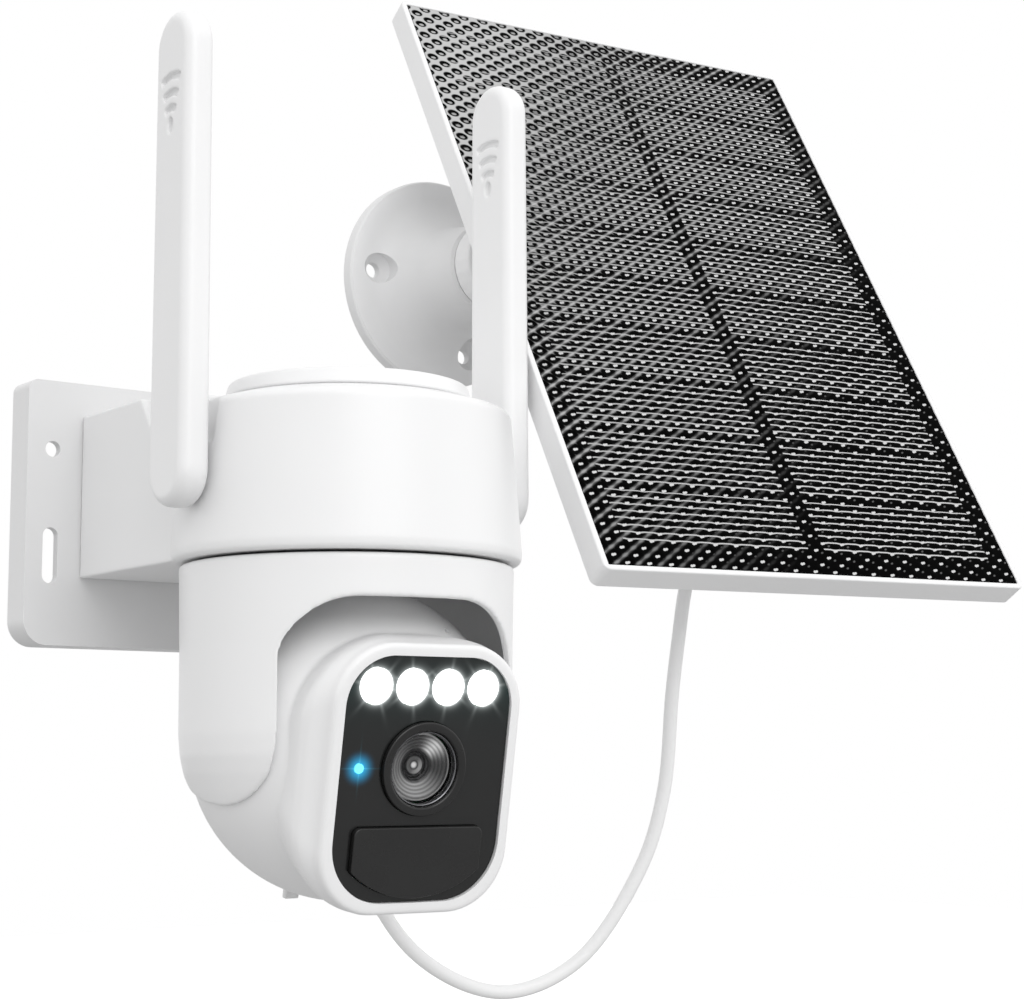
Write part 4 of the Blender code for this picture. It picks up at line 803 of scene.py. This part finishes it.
def build_head():
    """The ball with its snout, hollow and open at the face, and the cover that closes it behind."""
    shell = ball("head_skin", BALL_RADIUS, HEAD, steps=120)
    combine(shell, [loft("snout", snout_sections(), HEAD)], "UNION")
    soften(shell, 0.00065, 9)
    seam, seam_gap, behind = 0.0300, 0.0003, 0.04
    seat_gap, seat_behind, seat_depth, seat_lip, opening_behind = 0.0005, 0.0024, 0.0100, 0.003, 0.0032
    mic_turn = Matrix.Rotation(radians(22), 4, "Y") @ Matrix.Rotation(radians(33), 4, "X")
    combine(shell, [
        ball("hollow", BALL_RADIUS - SHELL_WALL, HEAD, steps=64),
        loft("front_hollow", snout_sections(SHELL_WALL + 0.0006), HEAD),
        plate("face_seat", rounded_outline(FACE_WIDTH + seat_gap, FACE_HEIGHT + seat_gap, 0.0143, 0.0168, 20),
              seat_depth, HEAD, at(0.0, -(FACE_FRONT - seat_behind) - seat_depth / 2, FACE_UP) @ ALONG_Y),
        plate("face_opening", rounded_outline(FACE_WIDTH - seat_lip, FACE_HEIGHT - seat_lip, 0.0130, 0.0155), 0.020,
              HEAD, at(0.0, -(FACE_FRONT - opening_behind), FACE_UP) @ ALONG_Y),
        box("back_cut", (THROUGH, behind, THROUGH), HEAD, at(0.0, seam + behind / 2, 0.0)),
        rod("bush_hole", 0.0063, THROUGH, HEAD, ALONG_X),
        box("flap_hole", (0.0246, 0.0186, 0.016), HEAD, at(0.0, 0.0150, -0.0440)),
        rod("mic_hole", 0.0010, 0.016, HEAD, at(0.0165, -0.0235, 0.0365) @ mic_turn, steps=16),
    ])
    finish_piece(shell, WHITE, "head", "head_front_shell", sharp=45.0)

    cover = ball("rear_cover_skin", BALL_RADIUS, HEAD, steps=120)
    combine(cover, [ball("hollow", BALL_RADIUS - SHELL_WALL, HEAD, steps=64),
                    box("front_cut", (THROUGH, THROUGH, THROUGH), HEAD, at(0.0, seam + seam_gap - THROUGH / 2, 0.0))])
    finish_piece(cover, WHITE, "head", "head_rear_cover", sharp=45.0)


def pir_outline(grow=0.0):
    """The motion window: straight sides that lean in to a curved lower edge."""
    top, side, shoulder, low, radius, corner = -0.0131, 0.0203, -0.0249, -0.0329, 0.0303, 0.0022
    spread = degrees(asin(side / radius))
    return (arc((side - corner, top - corner), corner + grow, 0, 90, 8)
            + arc((corner - side, top - corner), corner + grow, 90, 180, 8)
            + [(-side - grow, shoulder)] + arc((0.0, low + radius), radius + grow, 270 - spread, 270 + spread, 40)
            + [(side + grow, shoulder)])


def build_face():
    """The glossy face, and the window, the four lamps and the lens that sit in its holes."""
    gap, thick, hole_radius, boss_radius, window_thick = 0.0002, 0.0020, 0.0016, 0.0131, 0.0040
    leds = [((i - 1.5) * LED_SPACING, LED_UP - FACE_UP) for i in range(4)]
    holes = [circle(LED_RADIUS + gap, spot) for spot in leds]
    holes += [circle(boss_radius + gap, (0.0, LENS_UP - FACE_UP), 96),
              circle(hole_radius, (STATUS_X, LENS_UP - FACE_UP), 24), pir_outline(gap)]
    face = plate("face_skin", rounded_outline(FACE_WIDTH, FACE_HEIGHT, 0.0140, 0.0165, 24), thick, HEAD,
                 at(0.0, -FACE_FRONT + thick / 2, FACE_UP) @ ALONG_Y, holes)
    finish_piece(face, MATERIALS["gloss_black"], "head", "face_panel", round_edges=0.00015, segments=2)
    window = plate("pir_skin", pir_outline(), window_thick, HEAD, at(0.0, -FACE_FRONT + 0.0002, FACE_UP) @ ALONG_Y)
    finish_piece(window, PIR_GLOSS, "head", "pir_window", round_edges=0.00035)

    edge_up, lamp_back = -0.0002, -0.0036
    dome = [(0.0, 0.0006), (LED_RADIUS * 0.45, 0.00055), (LED_RADIUS * 0.8, 0.00035), (LED_RADIUS, edge_up),
            (LED_RADIUS, lamp_back), (0.0, lamp_back)]
    for number, (x, z) in enumerate(leds, 1):
        led = lathe(f"flood_led_skin_{number}", dome, HEAD, at(x, -FACE_FRONT, z + FACE_UP) @ ALONG_Y, steps=48)
        finish_piece(led, MATERIALS["lamp_lens"], "head", f"flood_led_{number}")

    def turned(name, profile, closed=False):
        """A piece turned about the lens axis: radius, and distance in front of the face."""
        return lathe(name, profile, HEAD, at(0.0, -FACE_FRONT, LENS_UP) @ ALONG_Y, steps=128, closed=closed)

    front, back, inner = 0.0016, -0.0045, 0.0104
    ring = rounded_profile([(inner, -0.0044), (inner, 0.0006), (0.0108, front), (boss_radius, front),
                            (boss_radius, back), (0.0110, back)], 0.0005)
    finish_piece(turned("lens_boss", ring, True), LENS_GLOSS, "head", "lens_ring", sharp=60.0)
    trim = rounded_profile([(0.0099, -0.0030), (0.0099, 0.0004), (0.0103, 0.0007), (0.0103, -0.0030)], 0.0002)
    piece = turned("lens_trim", trim, True)
    finish_piece(piece, TRIM_METAL, "head", sharp=60.0)
    glass_radius, glass_front, crown, glass_back = 0.0097, 0.0011, 0.0016, -0.0012
    glass = [(0.0, glass_front)]
    glass += [(glass_radius * sin(radians(a)), glass_front - crown * (1 - cos(radians(a))))
              for a in range(6, 91, 6)]
    glass += [(glass_radius, glass_back), (0.0, glass_back)]
    finish_piece(turned("lens_glass_skin", glass), MATERIALS["glass"], "head", "lens_glass")
    funnel = [(0.0, -0.0056), (0.0010, -0.0053), (0.0020, -0.0050), (0.0025, -0.0050), (0.0027, -0.0058),
              (0.0033, -0.0058), (0.0036, -0.0050), (0.0040, -0.0050), (0.0043, -0.0044), (0.0060, -0.0036),
              (0.0074, -0.0030), (0.0078, -0.0030), (0.0082, -0.0024), (0.0092, -0.0020), (0.0094, -0.0022),
              (0.0094, -0.0186), (0.0, -0.0186)]
    barrel = turned("lens_barrel_skin", rounded_profile(funnel, 0.0002, 3))
    finish_piece(barrel, LENS_RINGS, "head", "lens_barrel", sharp=50.0)


# ---- solar panel, bracket and cable
def build_flange():
    """A round wall flange that flares into a hollow stub, with three countersunk screw holes."""
    low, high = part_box("wall_flange")
    centre = at((low.x + high.x) / 2, high.y, (low.z + high.z) / 2)
    depth, radius = high.y - low.y, (high.x - low.x) / 2
    edge, tube_radius, flare, edge_round, flare_steps = 0.0060, 0.0160, 0.0150, 0.0006, 16
    profile = [(0.0, depth), (tube_radius - 0.0010, depth), (tube_radius, depth - 0.0010),
               (tube_radius + 0.0009, 0.0290), (tube_radius + 0.0016, 0.0240)]
    for i in range(flare_steps + 1):
        angle = radians(12 + 76 * i / flare_steps)
        profile.append((tube_radius + 0.0020 + flare * (1 - cos(angle)),
                        edge + 0.0004 + flare * (1 - sin(angle))))
    profile += [(radius - 0.0016, edge), (radius - edge_round, edge - 0.0003), (radius, edge - 0.0012),
                (radius, edge_round), (radius - edge_round, 0.0), (0.0, 0.0)]
    flange = lathe("flange_skin", profile, centre, ALONG_Y, steps=144)
    ring, hole, sink, sink_top, sink_floor, out, behind = 0.0278, 0.0028, 0.0056, 0.0056, 0.0030, 0.0300, -0.0100
    screw = [(0.0, out), (sink, out), (sink, sink_top), (hole, sink_floor), (hole, behind), (0.0, behind)]
    cuts = []
    for number, turn in enumerate((175.7, -64.3, 55.7)):
        angle = radians(turn)
        spot = at(cos(angle) * ring, 0.0, sin(angle) * ring)
        cuts.append(lathe(f"screw_hole_{number}", screw, centre, spot @ ALONG_Y, steps=37))
    cuts.append(rod("hollow", 0.0110, 0.0900, centre, ALONG_Y))
    combine(flange, cuts)
    finish_piece(flange, WALL_WHITE_SHADED, "base", "wall_flange", sharp=30.0)


def build_panel():
    """The frame, and the laminate in it as one closed sheet with a dimple at every lattice point."""
    corner, seat_depth, edge_round = 0.0026, 0.0060, 0.0007
    frame_body = plate("panel_frame_skin", rounded_outline(PANEL_WIDTH, PANEL_HEIGHT, corner, corner, 6), PANEL_DEPTH,
                       PANEL, at(y=PANEL_DEPTH / 2) @ ALONG_Y)
    combine(frame_body, [box("seat", (GLASS_WIDTH, seat_depth, GLASS_HEIGHT), PANEL, STILL)])
    finish_piece(frame_body, WHITE, "solar_panel", "panel_frame", round_edges=edge_round)

    grid_step, margin, front, back_y = 0.0006, 0.0003, 0.0002, 0.0014
    dimple_half_x, dimple_half_z, dimple_depth = 0.0022, 0.0016, 0.00022
    nx, nz = int(GLASS_WIDTH / grid_step), int(GLASS_HEIGHT / grid_step)
    xs = np.linspace(-GLASS_WIDTH / 2 + margin, GLASS_WIDTH / 2 - margin, nx)
    zs = np.linspace(-GLASS_HEIGHT / 2 + margin, GLASS_HEIGHT / 2 - margin, nz)
    grid_x, grid_z = np.meshgrid(xs, zs)
    depth = np.zeros_like(grid_x)
    for shift in (0.0, 0.5):
        dx = (np.mod(grid_x / DIMPLE_PITCH_X + shift, 1.0) - 0.5) * DIMPLE_PITCH_X
        dz = (np.mod(grid_z / DIMPLE_PITCH_Z + shift, 1.0) - 0.5) * DIMPLE_PITCH_Z
        near = np.sqrt((dx / dimple_half_x) ** 2 + (dz / dimple_half_z) ** 2)
        depth = np.maximum(depth, dimple_depth * np.clip(1 - near ** 2, 0, 1))
    points = np.stack([grid_x.ravel(), front + depth.ravel(), grid_z.ravel()], 1)
    faces = [(k * nx + i, k * nx + i + 1, (k + 1) * nx + i + 1, (k + 1) * nx + i)
             for k in range(nz - 1) for i in range(nx - 1)]
    rim = ([*range(nx)] + [k * nx + nx - 1 for k in range(1, nz)]
           + [(nz - 1) * nx + i for i in range(nx - 2, -1, -1)] + [k * nx for k in range(nz - 2, 0, -1)])
    first = len(points)
    verts = [tuple(p) for p in points] + [(points[i][0], back_y, points[i][2]) for i in rim]
    for i in range(len(rim)):
        j = (i + 1) % len(rim)
        faces.append((rim[i], rim[j], first + j, first + i))
    faces.append(tuple(range(first, first + len(rim))))
    sheet = from_data("panel_laminate", verts, faces, PANEL)
    finish_piece(sheet, MATERIALS["solar_cells"], "solar_panel", "panel_glass", sharp=60.0, slot="solar_cells")


def build_cable():
    """The solar lead: it hangs from the junction box and comes back up under the neck, into the gland."""
    box_at, box_inside, box_mouth = Vector((-0.0170, PANEL_DEPTH + 0.0058, -0.0380)), 0.0180, 0.0260
    inside, mouth = (PANEL @ (box_at + Vector((0.0, 0.0, -below))) for below in (box_inside, box_mouth))
    gland = sum(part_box("cable_gland"), Vector()) / 2
    hang = ((0.1300, -0.0990, -0.0290), (0.1305, -0.0930, -0.0560), (0.1315, -0.0870, -0.0880),
            (0.1260, -0.0800, -0.1150), (0.1090, -0.0700, -0.1430), (0.0830, -0.0620, -0.1530),
            (0.0570, -0.0540, -0.1420), (0.0410, -0.0460, -0.1180), (0.0270, -0.0370, -0.0750),
            (gland.x, gland.y, -0.0350), (gland.x, gland.y, PAN_AT.z + 0.0030))
    guides = [mouth, *map(Vector, hang)]
    guides.insert(0, guides[1] - 2 * (mouth - inside).normalized() * 0.030)
    steps, split_guide = 12, 4
    path, split = [inside], 0
    for i in range(1, len(guides) - 1):
        before, a, b, after = guides[i - 1], guides[i], guides[i + 1], guides[min(i + 2, len(guides) - 1)]
        if i == split_guide:
            split = len(path)
        for step in range(steps):
            t = step / steps
            path.append(0.5 * (2 * a + (b - before) * t + (2 * before - 5 * a + 4 * b - after) * t * t
                               + (3 * a - before - 3 * b + after) * t ** 3))
    path.append(guides[-1])
    upper = tube("solar_cable_upper", path[:split + 1], CABLE_RADIUS)
    lower = tube("solar_cable_lower", path[split:], CABLE_RADIUS)
    for piece in (upper, lower):
        piece.data.shade_smooth()
        piece.data.set_sharp_from_angle(angle=radians(50))
        piece.data.materials.append(CABLE)
    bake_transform(upper)
    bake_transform(lower)
    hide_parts("solar_cable")


# ---- studio
def build_studio():
    """A white studio with a pale floor, a key and a fill light, seen from the photo's viewpoint."""
    scene = bpy.context.scene
    scene.view_settings.view_transform = "Standard"
    scene.world = bpy.data.worlds.new("studio")
    sky = Shader(scene.world, "Background", "Generated")
    ramp = sky.add("MapRange", {"Value": sky.split(sky.coords)[2], "From Min": -0.5, "From Max": 1.0,
                                "To Min": 1.05, "To Max": 0.93})
    strength = sky.add("Mix", {"Factor": sky.seen(), "A": ramp.outputs["Result"], "B": 1.0})
    sky.set(Strength=strength.outputs["Result"], Color=(1.0, 1.0, 1.0, 1.0))

    low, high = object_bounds()
    centre = (low + high) / 2
    floor_mesh = bpy.data.meshes.new("floor")
    reach, drop = 4.0, 0.30
    floor_mesh.from_pydata([(centre.x + sx * reach, centre.y + sy * reach, low.z - drop)
                            for sx, sy in ((-1, -1), (1, -1), (1, 1), (-1, 1))], [], [(0, 1, 2, 3)])
    s = material("pale_floor")
    tone = s.mix(s.noise(3.0, 2.0), (0.42, 0.42, 0.42), (0.46, 0.46, 0.46))
    seen = s.seen()
    x, y, _ = s.split(s.vector("SUBTRACT", s.coords, tuple(centre)))
    s.set(Base_Color=s.mix(seen, tone, (0.90, 0.90, 0.90)), Roughness=0.7, Emission_Color=(1.0, 1.0, 1.0, 1.0),
          Emission_Strength=s.times(seen, s.step(s.length(x, y), 0.4, 2.4, 0.12, 0.35)))
    floor_mesh.materials.append(s.mat)
    add_object("floor", floor_mesh)

    def area(name, offset, size, power):
        """A soft rectangular light that faces the middle of the object."""
        light = bpy.data.lights.new(name, "AREA")
        light.shape, light.size, light.size_y, light.energy = "RECTANGLE", size[0], size[1], power
        holder = add_object(name, light)
        holder.location = centre + Vector(offset)
        holder.rotation_euler = (centre - holder.location).to_track_quat("-Z", "Y").to_euler()

    area("key", (-0.35, -1.4, 0.75), (1.1, 1.1), 8.5)
    area("fill", (1.3, -1.0, 0.1), (0.8, 1.2), 1.6)

    yaw, pitch, roll = radians(36.785), radians(7.417), radians(0.232)
    ahead = Vector((sin(yaw) * cos(pitch), cos(yaw) * cos(pitch), sin(pitch)))
    level = Vector((cos(yaw), -sin(yaw), 0.0))
    above = level.cross(ahead)
    right = cos(roll) * level - sin(roll) * above
    up = sin(roll) * level + cos(roll) * above
    camera = bpy.data.cameras.new("viewer")
    camera.lens, camera.sensor_width = 72.7, 36.0
    turn = Matrix((right, up, -ahead)).transposed().to_4x4()
    scene.camera = add_object("viewer", camera, at(*(PAN_AT + VIEWER_FROM_PAN)) @ turn)


build_wall_plate()
build_housing()
build_antennas()
build_yoke()
build_head()
build_face()
build_flange()
build_panel()
build_cable()
# CAD nodes shown as they are, with their edges softly rounded
for cad_node, voxel in (("bracket_arm", 0.0005), ("turn_knuckle", 0.0004), ("panel_foot", 0.0004),
                        ("junction_box", 0.0004), ("tilt_knob", 0.0003), ("tilt_pin", 0.0003), ("turn_pin", 0.0003),
                        ("cable_gland", 0.0003), ("service_flap", 0.0003)):
    skin(NODES[cad_node], voxel, 5).use_smooth_shade = True
build_studio()
